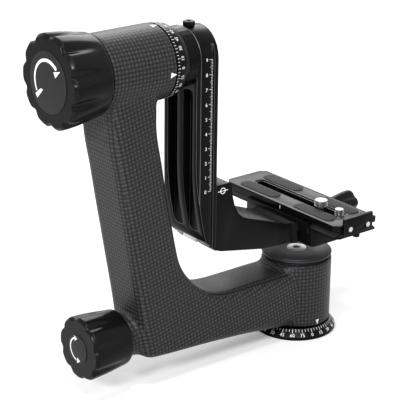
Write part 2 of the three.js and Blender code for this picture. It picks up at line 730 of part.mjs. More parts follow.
// Side outline of the cradle in X and Z, from the carriage's top round the inner bend to the seat
function cradleOutline() {
  const bendRun = fixedJawX - carriageFaceX;
  const footRun = -seatHalfWidth - carriageX;
  return [
    [carriageX, carriageTop], [carriageFaceX - carriageBevel, carriageTop],
    [carriageFaceX, carriageTop - carriageBevel],
    ...cradleBendShares.map(([runShare, riseShare]) =>
      [carriageFaceX + bendRun * runShare, beamTop + carriageHeight * riseShare]),
    [-jawFoot, beamTop], [-jawFoot, seatFloor], [-seatHalfWidth, seatFloor], [-seatHalfWidth, seatFoot],
    ...cradleFootShares.map(([runShare, riseShare]) =>
      [-seatHalfWidth - footRun * runShare, seatFoot + beamHeel * riseShare]),
  ];
}

function cradlePieces() {
  const beam = extrude(cradleOutline(), -beamHalfWidth, beamHalfWidth, "y");
  const seat = extrude(roundedOutline(-seatHalfWidth, seatHalfWidth, -seatHalfLength, seatHalfLength, seatCorner),
    seatFoot, seatFloor, "z");
  const jawRoot = -seatHalfWidth + seatCorner;
  const jaw = extrude([
    [fixedJawX, seatFloor - jawDrop], [jawRoot, seatFloor - jawDrop], [jawRoot, seatFloor],
    [-jawFoot, seatFloor], [-jawFoot, jawShoulder], [-jawTip, jawTop - jawLand], [-jawTip, jawTop],
    [fixedJawX, jawTop],
  ], -seatHalfLength + seatCorner, seatHalfLength - seatCorner, "y");
  const boss = (side) => rod(bossRadius, seatFoot, beamTop, coarse, "z", fixedJawX + bossInset,
    side * (beamHalfWidth - bossInset));
  const plateRoom = block(-jawFoot, seatHalfWidth, -seatHalfLength, seatHalfLength, seatFloor, jawTop);
  let body = beam.add(seat).add(boss(-1)).add(boss(1)).subtract(plateRoom).add(jaw);
  for (const side of [-1, 1]) {
    body = body.subtract(rod(pinRadius + running, seatHalfWidth - pinSeat - fit, seatHalfWidth + overrun, coarse,
      "x", 0, side * pinY, seatFloor - pinDrop));
  }
  const runnerTop = carriageTop - runnerDrop;
  const runnerFoot = runnerTop - runnerLength;
  body = body
    .subtract(rod(clampRodRadius + running, seatHalfWidth - clampRodReach - running, seatHalfWidth + overrun,
      coarse, "x", 0, 0, clampAxisZ))
    .subtract(block(carriageX - overrun, carriageX + runnerSeat + fit, -slotHalfWidth, slotHalfWidth,
      runnerFoot - fit, runnerTop + fit))
    .subtract(rod(heightStemRadius + running, heightPadY + heightPadRadius, beamHalfWidth + overrun, coarse, "y",
      heightAxisX, 0, heightAxisZ))
    .subtract(rod(heightPadRadius + running, carriageX - overrun, padStartX + heightPadLength + running, coarse,
      "x", 0, heightPadY, heightAxisZ));
  const stemHalf = slotHalfWidth - running;
  let runner = block(railX - slotCavityDepth + running, railX - running, -slotCavityHalf + running,
    slotCavityHalf - running, runnerFoot, runnerTop)
    .add(block(railX - running - fit, carriageX + runnerSeat, -stemHalf, stemHalf, runnerFoot, runnerTop));
  const headX = carriageFaceX - runnerScrewHeadHeight;
  const parts = [];
  for (const place of [0, 1]) {
    const z = carriageTop - runnerScrewDrop - place * runnerScrewPitch;
    body = body
      .subtract(rod(runnerScrewHead + fit, headX - fit, carriageFaceX + overrun + overrun, coarse, "x", 0, 0, z))
      .subtract(rod(runnerScrewRadius + fit, carriageX, carriageFaceX, coarse, "x", 0, 0, z));
    runner = runner.subtract(rod(runnerScrewRadius + fit, carriageX - runnerSeat - fit,
      carriageX + runnerSeat + overrun, coarse, "x", 0, 0, z));
    parts.push(toMesh("runner_screw_" + (place + 1), revolve([
      [0, carriageX - runnerSeat], [runnerScrewRadius, carriageX - runnerSeat], [runnerScrewRadius, headX],
      [runnerScrewHead, headX], [runnerScrewHead, carriageFaceX - fit], [0, carriageFaceX - fit],
    ], coarse, "x", 0, 0, z), finishes.steel));
  }
  parts.unshift(toMesh("cradle", body, finishes.anodised), toMesh("height_runner", runner, finishes.steel));
  return parts;
}

function heightLock() {
  const neckY = beamHalfWidth + running;
  const knobY = neckY + heightKnobNeckLength;
  const rootY = knobY + heightKnobNeckLength;
  const stemY = heightPadY + heightPadRadius + running + running;
  const knob = lobedKnob(heightKnobRadius, heightKnobLength, starLobes,
    (u, v, w) => new THREE.Vector3(heightAxisX + u, knobY + heightKnobLength - w, heightAxisZ + v))
    .add(rod(heightKnobNeck, neckY, rootY, coarse, "y", heightAxisX, 0, heightAxisZ))
    .add(rod(heightStemRadius, stemY, rootY, coarse, "y", heightAxisX, 0, heightAxisZ));
  const pad = rod(heightPadRadius, padStartX, padStartX + heightPadLength, coarse, "x", 0, heightPadY, heightAxisZ);
  return [
    toMesh("height_knob", knob, finishes.knob),
    toMesh("height_brake_pad", pad, finishes.brass),
  ];
}

function clampPieces() {
  const parts = [];
  const foot = seatHalfWidth + running;
  const lift = seatFoot + movingJawLift;
  const hole = (radius, y, z) => rod(radius + running, foot - overrun, movingJawX + overrun, coarse, "x", 0, y, z);
  let jaw = extrude([
    [foot, lift], [movingJawX, lift], [movingJawX, jawTop], [jawTip, jawTop], [jawTip, jawTop - jawLand],
    [jawFoot, jawShoulder], [jawFoot, seatFloor + fit], [foot, seatFloor + fit],
  ], -movingJawHalf, movingJawHalf, "y").subtract(hole(clampRodRadius, 0, clampAxisZ));
  for (const [side, end] of [[-1, "front"], [1, "rear"]]) {
    const z = seatFloor - pinDrop;
    jaw = jaw.subtract(hole(pinRadius, side * pinY, z));
    parts.push(toMesh("guide_pin_" + end, rod(pinRadius, seatHalfWidth - pinSeat, movingJawX - fit, coarse, "x",
      0, side * pinY, z), finishes.steel));
  }
  const washerX = movingJawX + fit;
  const knobX = washerX + clampWasher + running;
  const washer = ringBetween(clampRodRadius + running, clampWasherRadius, washerX, washerX + clampWasher,
    coarse, "x", 0, 0, clampAxisZ);
  const rodEnd = knobX + clampKnobLength / 2;
  const knob = lobedKnob(clampKnobRadius, clampKnobLength, starLobes,
    (u, v, w) => new THREE.Vector3(knobX + clampKnobLength - w, u, clampAxisZ + v))
    .subtract(rod(clampRodRadius + fit, knobX - overrun, rodEnd + fit, coarse, "x", 0, 0, clampAxisZ));
  const stem = rod(clampRodRadius, seatHalfWidth - clampRodReach, rodEnd, coarse, "x", 0, 0, clampAxisZ);
  parts.unshift(
    toMesh("clamp_jaw", jaw, finishes.anodised),
    toMesh("clamp_washer", washer, finishes.steel),
    toMesh("clamp_knob", knob, finishes.knob),
    toMesh("clamp_rod", stem, finishes.steel));
  return parts;
}

// Section of the plate in X and Z: a flat flange, a waist and a dovetail foot
function plateSection() {
  const shoulder = plateFoot + plateTail;
  const right = [
    [plateTailHalf, plateFoot], [plateTailHalf, shoulder], [plateNeckHalf, shoulder + plateUndercut],
    [plateNeckHalf, plateTop - plateFlange], [plateHalfWidth, plateTop - plateFlange], [plateHalfWidth, plateTop],
  ];
  return [...right, ...right.map(([x, z]) => [-x, z]).reverse()];
}

// The slot's outline, wider by a step that follows the slot all round
function plateSlot(step) {
  return stadium(0, plateSlotHalf + step, -plateSlotFront - step, plateSlotRear + step);
}

function platePieces() {
  const [w, l, c] = [plateHalfWidth, plateHalfLength, plateCorner];
  const outline = [
    [w - c, -l], [w, -l + c], [w, l - c], [w - c, l], [-w + c, l], [-w, l - c], [-w, -l + c], [-w + c, -l],
  ];
  let plate = extrude(plateSection(), -l, l, "y")
    .intersect(extrude(outline, plateFoot - overrun, plateTop + overrun, "z"))
    .subtract(extrude(plateSlot(0), plateFoot, plateTop + overrun, "z"))
    .subtract(extrude(plateSlot(plateLedge), plateTop - plateLedgeDepth, plateTop + overrun, "z"))
    .subtract(extrude(plateSlot(headRecess), plateFoot - overrun, plateFoot + headRecessDepth, "z"));
  const parts = [];
  for (const [side, sideName] of [[-1, "left"], [1, "right"]]) {
    for (const [y0, y1, end] of [[-padOuterY, -padInnerY, "front"], [padInnerY, padOuterY, "rear"]]) {
      plate = plate.subtract(extrude(stadium(side * padX, padHalfWidth + fit, y0 - fit, y1 + fit),
        plateTop - padRecess - fit, plateTop + overrun, "z"));
      parts.push(toMesh("pad_" + end + "_" + sideName,
        extrude(stadium(side * padX, padHalfWidth, y0, y1), plateTop - padRecess, plateTop + padProud, "z"),
        finishes.rubber));
    }
  }
  const blockY = -l - fit;
  const headY = blockY - blockThickness - fit;
  let stopBlock = block(-blockHalfWidth, blockHalfWidth, blockY - blockThickness, blockY,
    plateTop - blockDrop, plateTop + blockRise);
  for (const [side, sideName] of [[-1, "left"], [1, "right"]]) {
    const place = [side * blockScrewX, 0, plateTop - blockScrewDrop];
    const hole = rod(blockScrewRadius + fit, headY - overrun, -l + blockScrewLength, coarse, "y", ...place);
    plate = plate.subtract(hole);
    stopBlock = stopBlock.subtract(hole);
    const tipY = -l + blockScrewLength - fit;
    parts.push(toMesh("block_screw_" + sideName, revolve([
      [0, headY - blockScrewHeadHeight], [blockScrewHead, headY - blockScrewHeadHeight], [blockScrewHead, headY],
      [blockScrewRadius, headY], [blockScrewRadius, tipY], [0, tipY],
    ], coarse, "y", ...place), finishes.steel));
  }
  for (const [side, end] of [[-1, "front"], [1, "rear"]]) {
    const [x, y] = [-side * stopScrewX, side * (l - stopScrewInset)];
    const tip = plateFoot + stopScrewLength;
    plate = plate.subtract(rod(stopScrewRadius + fit, plateFoot - overrun, tip + fit, coarse, "z", x, y));
    parts.push(toMesh("stop_screw_" + end, revolve([
      [0, plateFoot - stopScrewDrop], [stopScrewHead, plateFoot - stopScrewDrop], [stopScrewHead, plateFoot - fit],
      [stopScrewRadius, plateFoot - fit], [stopScrewRadius, tip], [0, tip],
    ], coarse, "z", x, y), finishes.steel));
  }
  parts.unshift(toMesh("plate", plate, finishes.plate), toMesh("end_block", stopBlock, finishes.anodised));
  return parts;
}

// A screw held in the plate's slot: head below, neck in the slot and thread above
function cameraScrew(name, y, radius, height, collar) {
  const washerZ = plateFoot + headRecessDepth - fit - cameraWasher;
  const headTop = washerZ - fit;
  const headFoot = headTop - cameraScrewHeadHeight;
  const seat = plateTop + fit;
  const top = seat + height;
  const step = [[radius + collar, seat], [radius + collar, seat + smallScrewCollarHeight],
    [radius, seat + smallScrewCollarHeight]];
  const screw = revolve([
    [0, headFoot], [cameraScrewHead, headFoot], [cameraScrewHead, headTop], [cameraNeck, headTop],
    [cameraNeck, seat], ...(collar ? step : [[radius, seat]]), [radius, top - screwTip], [radius - screwTip, top],
    [0, top],
  ], coarse, "z", 0, y)
    .subtract(block(-cameraScrewHead - overrun, cameraScrewHead + overrun, y - coinSlot / 2, y + coinSlot / 2,
      headFoot - overrun, headFoot + coinSlotDepth / 2))
    .subtract(block(-radius - overrun, radius + overrun, y - coinSlot / 2, y + coinSlot / 2,
      top - coinSlotDepth, top + overrun));
  const washer = ringBetween(cameraNeck + fit, cameraScrewHead, washerZ, washerZ + cameraWasher, coarse, "z", 0, y);
  return [toMesh(name + "_screw", screw, finishes.steel), toMesh(name + "_washer", washer, finishes.polymer)];
}

const head = new THREE.Group();
head.name = "gimbal_head";
head.add(
  ...basePieces(), ...capPieces(),
  frameBody(), ...bushes(), ...tiltLock(), ...panLock(),
  ...tiltPieces(), ...swingArm(),
  ...cradlePieces(), ...heightLock(), ...clampPieces(),
  ...platePieces(),
  ...cameraScrew("three_eighths", bigScrewY, bigScrewRadius, bigScrewHeight, 0),
  ...cameraScrew("quarter", smallScrewY, smallScrewRadius, smallScrewHeight, smallScrewCollar),
);

export default head;
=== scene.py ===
# Gimbal tripod head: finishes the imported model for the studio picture.
# Metres. Z is up, the pan axis is x = y = 0, and the tilt axis runs along X.
import bpy
import bmesh
import json
import math
import numpy as np
from mathutils import Matrix, Vector
from mathutils.bvhtree import BVHTree


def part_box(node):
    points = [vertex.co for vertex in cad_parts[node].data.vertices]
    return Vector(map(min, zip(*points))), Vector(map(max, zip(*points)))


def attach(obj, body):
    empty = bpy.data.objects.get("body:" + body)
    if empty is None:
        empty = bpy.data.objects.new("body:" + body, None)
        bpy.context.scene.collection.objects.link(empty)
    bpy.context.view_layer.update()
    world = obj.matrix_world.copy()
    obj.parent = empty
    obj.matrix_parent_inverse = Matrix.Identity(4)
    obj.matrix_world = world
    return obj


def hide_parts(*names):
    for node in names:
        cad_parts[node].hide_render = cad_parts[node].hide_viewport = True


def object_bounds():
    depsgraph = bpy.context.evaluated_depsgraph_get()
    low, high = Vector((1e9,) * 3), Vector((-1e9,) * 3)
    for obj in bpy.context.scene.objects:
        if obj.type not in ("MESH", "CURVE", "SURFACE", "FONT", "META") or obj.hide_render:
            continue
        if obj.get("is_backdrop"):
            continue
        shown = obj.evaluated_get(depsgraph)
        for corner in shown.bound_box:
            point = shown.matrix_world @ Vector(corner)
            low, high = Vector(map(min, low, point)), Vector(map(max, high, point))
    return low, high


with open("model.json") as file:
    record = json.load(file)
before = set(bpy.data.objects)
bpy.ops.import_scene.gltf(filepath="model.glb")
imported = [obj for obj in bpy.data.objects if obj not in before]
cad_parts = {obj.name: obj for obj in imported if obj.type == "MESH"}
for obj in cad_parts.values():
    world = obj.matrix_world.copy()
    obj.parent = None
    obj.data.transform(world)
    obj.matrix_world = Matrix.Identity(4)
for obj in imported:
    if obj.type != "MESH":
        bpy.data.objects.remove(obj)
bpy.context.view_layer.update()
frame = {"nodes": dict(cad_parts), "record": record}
nodes = frame["nodes"]
mm = 0.001
print("frame loaded:", len(nodes), "nodes")


# Small helpers

def linear(colour):
    # sRGB hex to the linear values that the shaders take
    parts = [int(colour[i:i + 2], 16) / 255 for i in (0, 2, 4)]
    return tuple(c / 12.92 if c <= 0.04045 else ((c + 0.055) / 1.055) ** 2.4 for c in parts) + (1.0,)


def addNode(tree, kind, settings=None, links=None):
    node = tree.nodes.new("ShaderNode" + kind)
    for key, value in (settings or {}).items():
        if isinstance(key, str) and hasattr(node, key):
            setattr(node, key, value)
        else:
            node.inputs[key].default_value = value
    for key, socket in (links or {}).items():
        tree.links.new(socket, node.inputs[key])
    return node


def newMaterial(name, **settings):
    # A Principled shader with its constants set on its own sockets
    material = bpy.data.materials.new(name)
    material.use_nodes = True
    tree = material.node_tree
    shader = tree.nodes["Principled BSDF"]
    for key, value in settings.items():
        shader.inputs[key.replace("_", " ")].default_value = value
    return material, tree, shader


def nodeBox(node):
    low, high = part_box(node)
    return low / mm, high / mm


def shadeByAngle(bm, degrees):
    for face in bm.faces:
        face.smooth = True
    for edge in bm.edges:
        if len(edge.link_faces) == 2:
            edge.smooth = edge.calc_face_angle(0) < math.radians(degrees)


def newPiece(name, bm, body, material, stands=(), sharp=35, edges=None):
    # Turns a bmesh in millimetres into a piece that rides on a body.
    # Faces of index 1 take the edges' material
    bmesh.ops.scale(bm, vec=(mm, mm, mm), verts=bm.verts)
    shadeByAngle(bm, sharp)
    mesh = bpy.data.meshes.new(name)
    bm.to_mesh(mesh)
    bm.free()
    mesh.materials.append(material)
    if edges:
        mesh.materials.append(edges)
    piece = bpy.data.objects.new(name, mesh)
    bpy.context.scene.collection.objects.link(piece)
    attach(piece, body)
    if stands:
        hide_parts(*stands)
    return piece


edgeWork = {
    "seam": 0.0005,  # mm, gap that is closed at the ends of a turning
    "roundSteps": 4,  # faces in a turning's rounded corner
    "weld": 0.002,  # mm, gap that is closed between the loose triangles of a CAD solid
    "flat": 0.5,  # degrees between faces that become one
    "crisp": 28,  # degrees between faces whose edge is broken
    "breakSteps": 2,
}
facets = {"ring": 160, "part": 120, "small": 96, "rod": 64, "pin": 32, "hexagon": 6}  # round a turning
axisTurn = {
    "x": Matrix(((0, 0, 1), (1, 0, 0), (0, 1, 0))).to_4x4(),
    "y": Matrix(((1, 0, 0), (0, 0, 1), (0, 1, 0))).to_4x4(),
    "z": Matrix.Identity(4),
}


def turned(profile, axis, centre=(0, 0, 0), steps=facets["part"]):
    # Lathe work. The profile is a closed run of (radius, distance along the axis, corner radius)
    bm = bmesh.new()
    corners = [bm.verts.new((radius, 0, distance)) for radius, distance, rounding in profile]
    for i, vert in enumerate(corners):
        bm.edges.new((vert, corners[(i + 1) % len(corners)]))
    for vert, (radius, distance, rounding) in zip(corners, profile):
        if rounding:
            bmesh.ops.bevel(bm, geom=[vert], offset=rounding, offset_type="OFFSET",
                            segments=edgeWork["roundSteps"], profile=0.5, affect="VERTICES",
                            clamp_overlap=False, material=-1)
    bmesh.ops.spin(bm, geom=bm.verts[:] + bm.edges[:], axis=(0, 0, 1), cent=(0, 0, 0), angle=math.tau,
                   steps=steps, use_merge=True)
    bmesh.ops.remove_doubles(bm, verts=bm.verts, dist=edgeWork["seam"])
    bmesh.ops.transform(bm, matrix=Matrix.Translation(centre) @ axisTurn[axis], verts=bm.verts)
    bmesh.ops.recalc_face_normals(bm, faces=bm.faces)
    return bm


def softened(node, width, reshape=None):
    # A copy of a CAD node, reshaped if asked, with its loose triangles joined and its crisp edges broken
    bm = bmesh.new()
    bm.from_mesh(nodes[node].data)
    bmesh.ops.scale(bm, vec=(1 / mm, 1 / mm, 1 / mm), verts=bm.verts)
    if reshape:
        reshape(bm)
    bmesh.ops.remove_doubles(bm, verts=bm.verts, dist=edgeWork["weld"])
    bmesh.ops.dissolve_limit(bm, angle_limit=math.radians(edgeWork["flat"]), verts=bm.verts, edges=bm.edges)
    crisp = [edge for edge in bm.edges if len(edge.link_faces) == 2
             and edge.calc_face_angle(0) > math.radians(edgeWork["crisp"])]
    made = bmesh.ops.bevel(bm, geom=crisp, offset=width, offset_type="OFFSET",
                           segments=edgeWork["breakSteps"], profile=0.5, affect="EDGES",
                           clamp_overlap=True, material=-1)
    for face in made["faces"]:
        face.material_index = 1
    return bm


def drawnThrough(rows, settle, segments):
    # One outline drawn from row to row and closed at both ends.
    # The settle function gives it each row's shape
    bm = bmesh.new()
    ring = bmesh.ops.create_circle(bm, cap_ends=False, segments=segments, radius=1.0)["verts"]
    settle(ring, rows[0])
    first, fresh, edges = list(ring), list(ring), list(bm.edges)
    for row in rows[1:]:
        made = bmesh.ops.extrude_edge_only(bm, edges=edges)["geom"]
        fresh = [v for v in made if isinstance(v, bmesh.types.BMVert)]
        edges = [e for e in made if isinstance(e, bmesh.types.BMEdge) and all(v in fresh for v in e.verts)]
        settle(fresh, row)
    bmesh.ops.contextual_create(bm, geom=first)
    bmesh.ops.contextual_create(bm, geom=fresh)
    bmesh.ops.recalc_face_normals(bm, faces=bm.faces)
    return bm


def plug(radius, start, end, axis, centre=(0, 0, 0)):
    # A plain round cutter
    outline = [(0, start, 0), (radius, start, 0), (radius, end, 0), (0, end, 0)]
    return turned(outline, axis, centre, facets["small"])


def looseObject(name, bm):
    mesh = bpy.data.meshes.new(name)
    bm.to_mesh(mesh)
    bm.free()
    made = bpy.data.objects.new(name, mesh)
    bpy.context.scene.collection.objects.link(made)
    return made


def settled(made):
    # The object's mesh with its modifiers applied, and the object gone
    bpy.context.view_layer.update()
    graph = bpy.context.evaluated_depsgraph_get()
    mesh = bpy.data.meshes.new_from_object(made.evaluated_get(graph))
    bpy.data.objects.remove(made)
    return mesh


def cutAway(bm, cutters):
    # The solid less its cutters
    body = looseObject("body", bm)
    tools = [looseObject("cutter", cutter) for cutter in cutters]
    for tool in tools:
        cut = body.modifiers.new("cut", "BOOLEAN")
        cut.operation, cut.solver, cut.object = "DIFFERENCE", "EXACT", tool
    left = bmesh.new()
    left.from_mesh(settled(body))
    for tool in tools:
        bpy.data.objects.remove(tool)
    return left


def joined(*parts):
    whole = bmesh.new()
    for part in parts:
        mesh = bpy.data.meshes.new("part")
        part.to_mesh(mesh)
        part.free()
        whole.from_mesh(mesh)
    return whole


# Camera, lights and studio

cameraSettings = {
    "place": (-725.6, -782.5, 500.7),  # mm
    "azimuth": -39.08,
    "elevation": 20.82,
    "roll": 0.71,
    "lens": 144,
    "sensor": 36,
    "clip": (0.05, 20),  # m
}


def makeCamera(settings):
    azimuth, elevation = math.radians(settings["azimuth"]), math.radians(settings["elevation"])
    roll = math.radians(settings["roll"])
    flatRight = Vector((math.cos(azimuth), math.sin(azimuth), 0))
    forward = Vector((-math.sin(azimuth) * math.cos(elevation), math.cos(azimuth) * math.cos(elevation),
                      -math.sin(elevation)))
    flatUp = flatRight.cross(forward)
    right = math.cos(roll) * flatRight + math.sin(roll) * flatUp
    up = -math.sin(roll) * flatRight + math.cos(roll) * flatUp
    data = bpy.data.cameras.new("studioCamera")
    data.lens = settings["lens"]
    data.sensor_width = settings["sensor"]
    data.clip_start, data.clip_end = settings["clip"]
    camera = bpy.data.objects.new("studioCamera", data)
    turn = Matrix((right, up, -forward)).transposed().to_4x4()
    camera.matrix_world = Matrix.Translation(Vector(settings["place"]) * mm) @ turn
    bpy.context.scene.collection.objects.link(camera)
    bpy.context.scene.camera = camera


makeCamera(cameraSettings)
bpy.context.scene.view_settings.view_transform = "Standard"

studio = {
    "floorColour": "ececec",
    "floorGlow": 0.25,
    "floorRoughness": 0.9,
    "floorRadius": 6.0,  # m
    "floorDrop": 0.0002,  # m, under the object's foot
    "ambient": 0.4,  # of the surroundings' light. The camera and mirrors see them white
    "aim": (-90, 0, 130),  # mm
    "lamps": {  # place and size in mm, then watts
        "backSoftbox": ((470, 690, 870), 820, 7.0),
        "topSoftbox": ((-320, -280, 1150), 160, 3.0),
        "frontSoftbox": ((-440, -700, 900), 340, 4.2),
        "leftSoftbox": ((-1130, 220, 460), 500, 0.5),
        "knobLamp": ((-1000, -400, 570), 190, 6.5),
    },
}


def makeStudio(settings):
    scene = bpy.context.scene
    world = bpy.data.worlds.new("studio")
    scene.world = world
    world.use_nodes = True
    tree = world.node_tree
    background = tree.nodes["Background"]
    path = addNode(tree, "LightPath")
    seen = addNode(tree, "Math", {"operation": "MAXIMUM"},
                   {0: path.outputs["Is Camera Ray"], 1: path.outputs["Is Glossy Ray"]})
    seen = addNode(tree, "Math", {"operation": "MAXIMUM"},
                   {0: seen.outputs[0], 1: path.outputs["Is Transmission Ray"]})
    level = addNode(tree, "MapRange", {"To Min": settings["ambient"], "To Max": 1.0},
                    {"Value": seen.outputs[0]})
    background.inputs["Color"].default_value = (1, 1, 1, 1)
    tree.links.new(level.outputs[0], background.inputs["Strength"])

    # Pale card floor that keeps a soft shadow
    material, tree, shader = newMaterial("studioCard", Base_Color=linear(settings["floorColour"]),
                                         Roughness=settings["floorRoughness"])
    path = addNode(tree, "LightPath")
    glow = addNode(tree, "Math", {"operation": "MULTIPLY", 1: settings["floorGlow"]},
                   {0: path.outputs["Is Camera Ray"]})
    tree.links.new(glow.outputs[0], shader.inputs["Emission Strength"])
    shader.inputs["Emission Color"].default_value = (1, 1, 1, 1)
    bm = bmesh.new()
    bmesh.ops.create_circle(bm, cap_ends=True, segments=64, radius=settings["floorRadius"])
    mesh = bpy.data.meshes.new("studioFloor")
    bm.to_mesh(mesh)
    bm.free()
    mesh.materials.append(material)
    floor = bpy.data.objects.new("studioFloor", mesh)
    floor.location = (0, 0, -settings["floorDrop"])
    scene.collection.objects.link(floor)
    floor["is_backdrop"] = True

    aim = Vector(settings["aim"]) * mm
    for name, (place, size, power) in settings["lamps"].items():
        data = bpy.data.lights.new(name, "AREA")
        data.shape, data.size, data.energy = "DISK", size * mm, power
        lamp = bpy.data.objects.new(name, data)
        lamp.visible_camera = False
        lamp.location = Vector(place) * mm
        lamp.rotation_euler = (aim - lamp.location).to_track_quat("-Z", "Y").to_euler()
        scene.collection.objects.link(lamp)


makeStudio(studio)
print("studio ready")


# Materials

def objectMillimetres(tree):
    coordinates = addNode(tree, "TexCoord")
    scaled = addNode(tree, "VectorMath", {"operation": "SCALE", "Scale": 1 / mm},
                     {0: coordinates.outputs["Object"]})
    return scaled.outputs["Vector"]


def finishSurface(tree, shader, tones, tint, grain, strength, depth, spread=None):
    # What the finishes share: two tones mixed by a tint, bump by a grain, and a spread of roughness by it
    colour = addNode(tree, "Mix", {"data_type": "RGBA", 6: linear(tones[0]), 7: linear(tones[1])}, {0: tint})
    tree.links.new(colour.outputs[2], shader.inputs["Base Color"])
    bump = addNode(tree, "Bump", {"Strength": strength, "Distance": depth * mm}, {"Height": grain})
    tree.links.new(bump.outputs["Normal"], shader.inputs["Normal"])
    if spread:
        level = addNode(tree, "MapRange", {"To Min": spread[0], "To Max": spread[1]}, {"Value": grain})
        tree.links.new(level.outputs[0], shader.inputs["Roughness"])


def makeAnodised(name, dark, light, roughness, metallic, grain, specular=0.5, patch=20):
    # Black anodised aluminium, bead blasted and dyed: a satin, slightly metallic black with a fine grain
    # and faint broad patches, both in mm. A low specular level keeps the white surroundings from
    # greying the blackest pieces
    material, tree, shader = newMaterial(name, Metallic=metallic, Specular_IOR_Level=specular)
    place = objectMillimetres(tree)
    fine = addNode(tree, "TexNoise", {"Scale": 1 / grain, "Detail": 3.0, "Roughness": 0.6},
                   {"Vector": place})
    broad = addNode(tree, "TexNoise", {"Scale": 1 / patch, "Detail": 2.0}, {"Vector": place})
    finishSurface(tree, shader, (dark, light), broad.outputs["Fac"], fine.outputs["Fac"], 0.12, 0.02,
                  (roughness - 0.05, roughness + 0.05))
    return material


anodised = makeAnodised("blackAnodisedAluminium", "0e0e0f", "131314", 0.32, 0.5, 0.4, 0.12)
# A paler black anodising for the plate's top, painted as if lit: painted light
plateLitTopFinish = makeAnodised("plateAnodisedPaintedLitTop", "232324", "2a2a2b", 0.4, 0.5, 0.5)
capFinish = makeAnodised("blastedAnodisedCap", "333437", "3a3b3e", 0.42, 0.6, 0.4)
discFinish = makeAnodised("greyAnodisedDisc", "232323", "292929", 0.5, 0.2, 0.3, 0.2)
# Painted highlight: broken edges painted paler than the faces, standing in for the light that their chamfers
# catch
paintedEdgeHighlight = makeAnodised("paintedHighlightAnodisedEdge", "55565a", "7c7d80", 0.3, 0.8, 0.4)
# Moulded nylon, as black and as finely grained as the anodising, but not metallic
knobFinish = makeAnodised("satinBlackNylon", "0b0b0c", "101011", 0.24, 0.0, 0.35, 0.12)


def makeTurnedMetal(name, dull, bright, roughness, pitch):
    # Bare metal off the lathe or mill: bright, with faint tool marks
    material, tree, shader = newMaterial(name, Metallic=1.0)
    place = objectMillimetres(tree)
    marks = addNode(tree, "TexNoise", {"Scale": 1 / pitch, "Detail": 2.0}, {"Vector": place})
    finishSurface(tree, shader, (dull, bright), marks.outputs["Fac"], marks.outputs["Fac"], 0.08, 0.01,
                  (roughness - 0.06, roughness + 0.08))
    return material


steel = makeTurnedMetal("stainlessSteel", "d0d0d2", "e6e6e8", 0.3, 0.3)
screwSteel = makeTurnedMetal("threadedScrewSteel", "a2a3a5", "c6c7c8", 0.22, 0.3)
blackSteel = makeTurnedMetal("blackOxideSteel", "1c1c1e", "2a2a2c", 0.4, 0.3)
brass = makeTurnedMetal("brass", "a5823f", "bb9a5a", 0.32, 0.3)


def makeRubber(name, dark, light, roughness, grain, depth):
    # Moulded rubber or acetal: hardly any shine of its own, and a leathery grain in mm from the mould
    material, tree, shader = newMaterial(name, Roughness=roughness)
    place = objectMillimetres(tree)
    noise = addNode(tree, "TexNoise", {"Scale": 1 / grain, "Detail": 4.0, "Roughness": 0.65},
                    {"Vector": place}).outputs["Fac"]
    finishSurface(tree, shader, (dark, light), noise, noise, 0.4, depth)
    return material


rubber = makeRubber("mouldedRubber", "2a2a2b", "3a3a3b", 0.8, 0.5, 0.05)
polymer = makeRubber("mouldedAcetal", "343436", "3c3c3e", 0.55, 0.8, 0.01)

netPitch = 2.0  # mm; the real net is finer than shows in the picture, so it is drawn coarser


def crossings(tree, turns):
    # Even bumps along and across: the field, up and down in turn, and its height
    split = addNode(tree, "SeparateXYZ", None, {0: turns})
    across = addNode(tree, "Math", {"operation": "SINE"}, {0: split.outputs["X"]})
    along = addNode(tree, "Math", {"operation": "SINE"}, {0: split.outputs["Y"]})
    field = addNode(tree, "Math", {"operation": "MULTIPLY"}, {0: across.outputs[0], 1: along.outputs[0]})
    height = addNode(tree, "Math", {"operation": "ABSOLUTE"}, {0: field.outputs[0]})
    return field.outputs[0], height.outputs[0]


def makeNetRubber(name, dark, light, pitch):
    # Grip rubber moulded with a fine diamond net. Each stud is painted lighter as a painted highlight where
    # it catches light, and the hollows between are painted dark as painted shade
    material, tree, shader = newMaterial(name, Roughness=0.7, Specular_IOR_Level=0.35)
    slanted = addNode(tree, "Mapping", {"Rotation": (0, 0, math.radians(45)),
                                        "Scale": (math.pi / pitch,) * 3},
                      {"Vector": objectMillimetres(tree)})
    stud = crossings(tree, slanted.outputs["Vector"])[1]
    finishSurface(tree, shader, (dark, light), stud, stud, 0.6, 0.2)
    return material


netRubber = makeNetRubber("grippyNetRubber", "0d0d0e", "2d2e30", netPitch)

weave = {
    "tow": 2.7,  # mm across one tow of the plain weave
    "lay": 11.2,  # degrees from X to the cloth on the broad sides, which runs straight down the upright leg
    "dark": "0a0a0a",
    "light": "424242",
    "weftSheen": 0.8,  # painted sheen: share of the light tone that the crosswise tows take beside the lengthwise ones, standing in for the tows catching the light in turn
    "change": 0.3,  # from one shade to the other, as a share of a crossing's height
    "crown": 0.9,  # power that rounds a tow's crown
}


def makeCarbon(settings):
    # Carbon cloth in plain weave under satin resin: crossings show as soft dots, light and dark in turn.
    # Their lighter crowns and the turn of light and dark are painted sheen, laid over the cloth's own
    # pattern of tows and gaps
    material, tree, shader = newMaterial("carbonPlainWeave", Roughness=0.4, Specular_IOR_Level=0.2)
    coordinates = addNode(tree, "UVMap", {"uv_map": "weave"})
    turns = addNode(tree, "VectorMath", {"operation": "SCALE", "Scale": math.pi / (settings["tow"] * mm)},
                    {0: coordinates.outputs["UV"]})
    crossing, height = crossings(tree, turns.outputs["Vector"])
    crown = addNode(tree, "Math", {"operation": "POWER", 1: settings["crown"]}, {0: height})
    upper = addNode(tree, "MapRange", {"interpolation_type": "SMOOTHSTEP", "To Min": settings["weftSheen"],
                                       "From Min": -settings["change"], "From Max": settings["change"]},
                    {"Value": crossing})
    shade = addNode(tree, "Math", {"operation": "MULTIPLY"}, {0: crown.outputs[0], 1: upper.outputs[0]})
    finishSurface(tree, shader, (settings["dark"], settings["light"]), shade.outputs[0], crown.outputs[0],
                  0.5, 0.1)
    return material


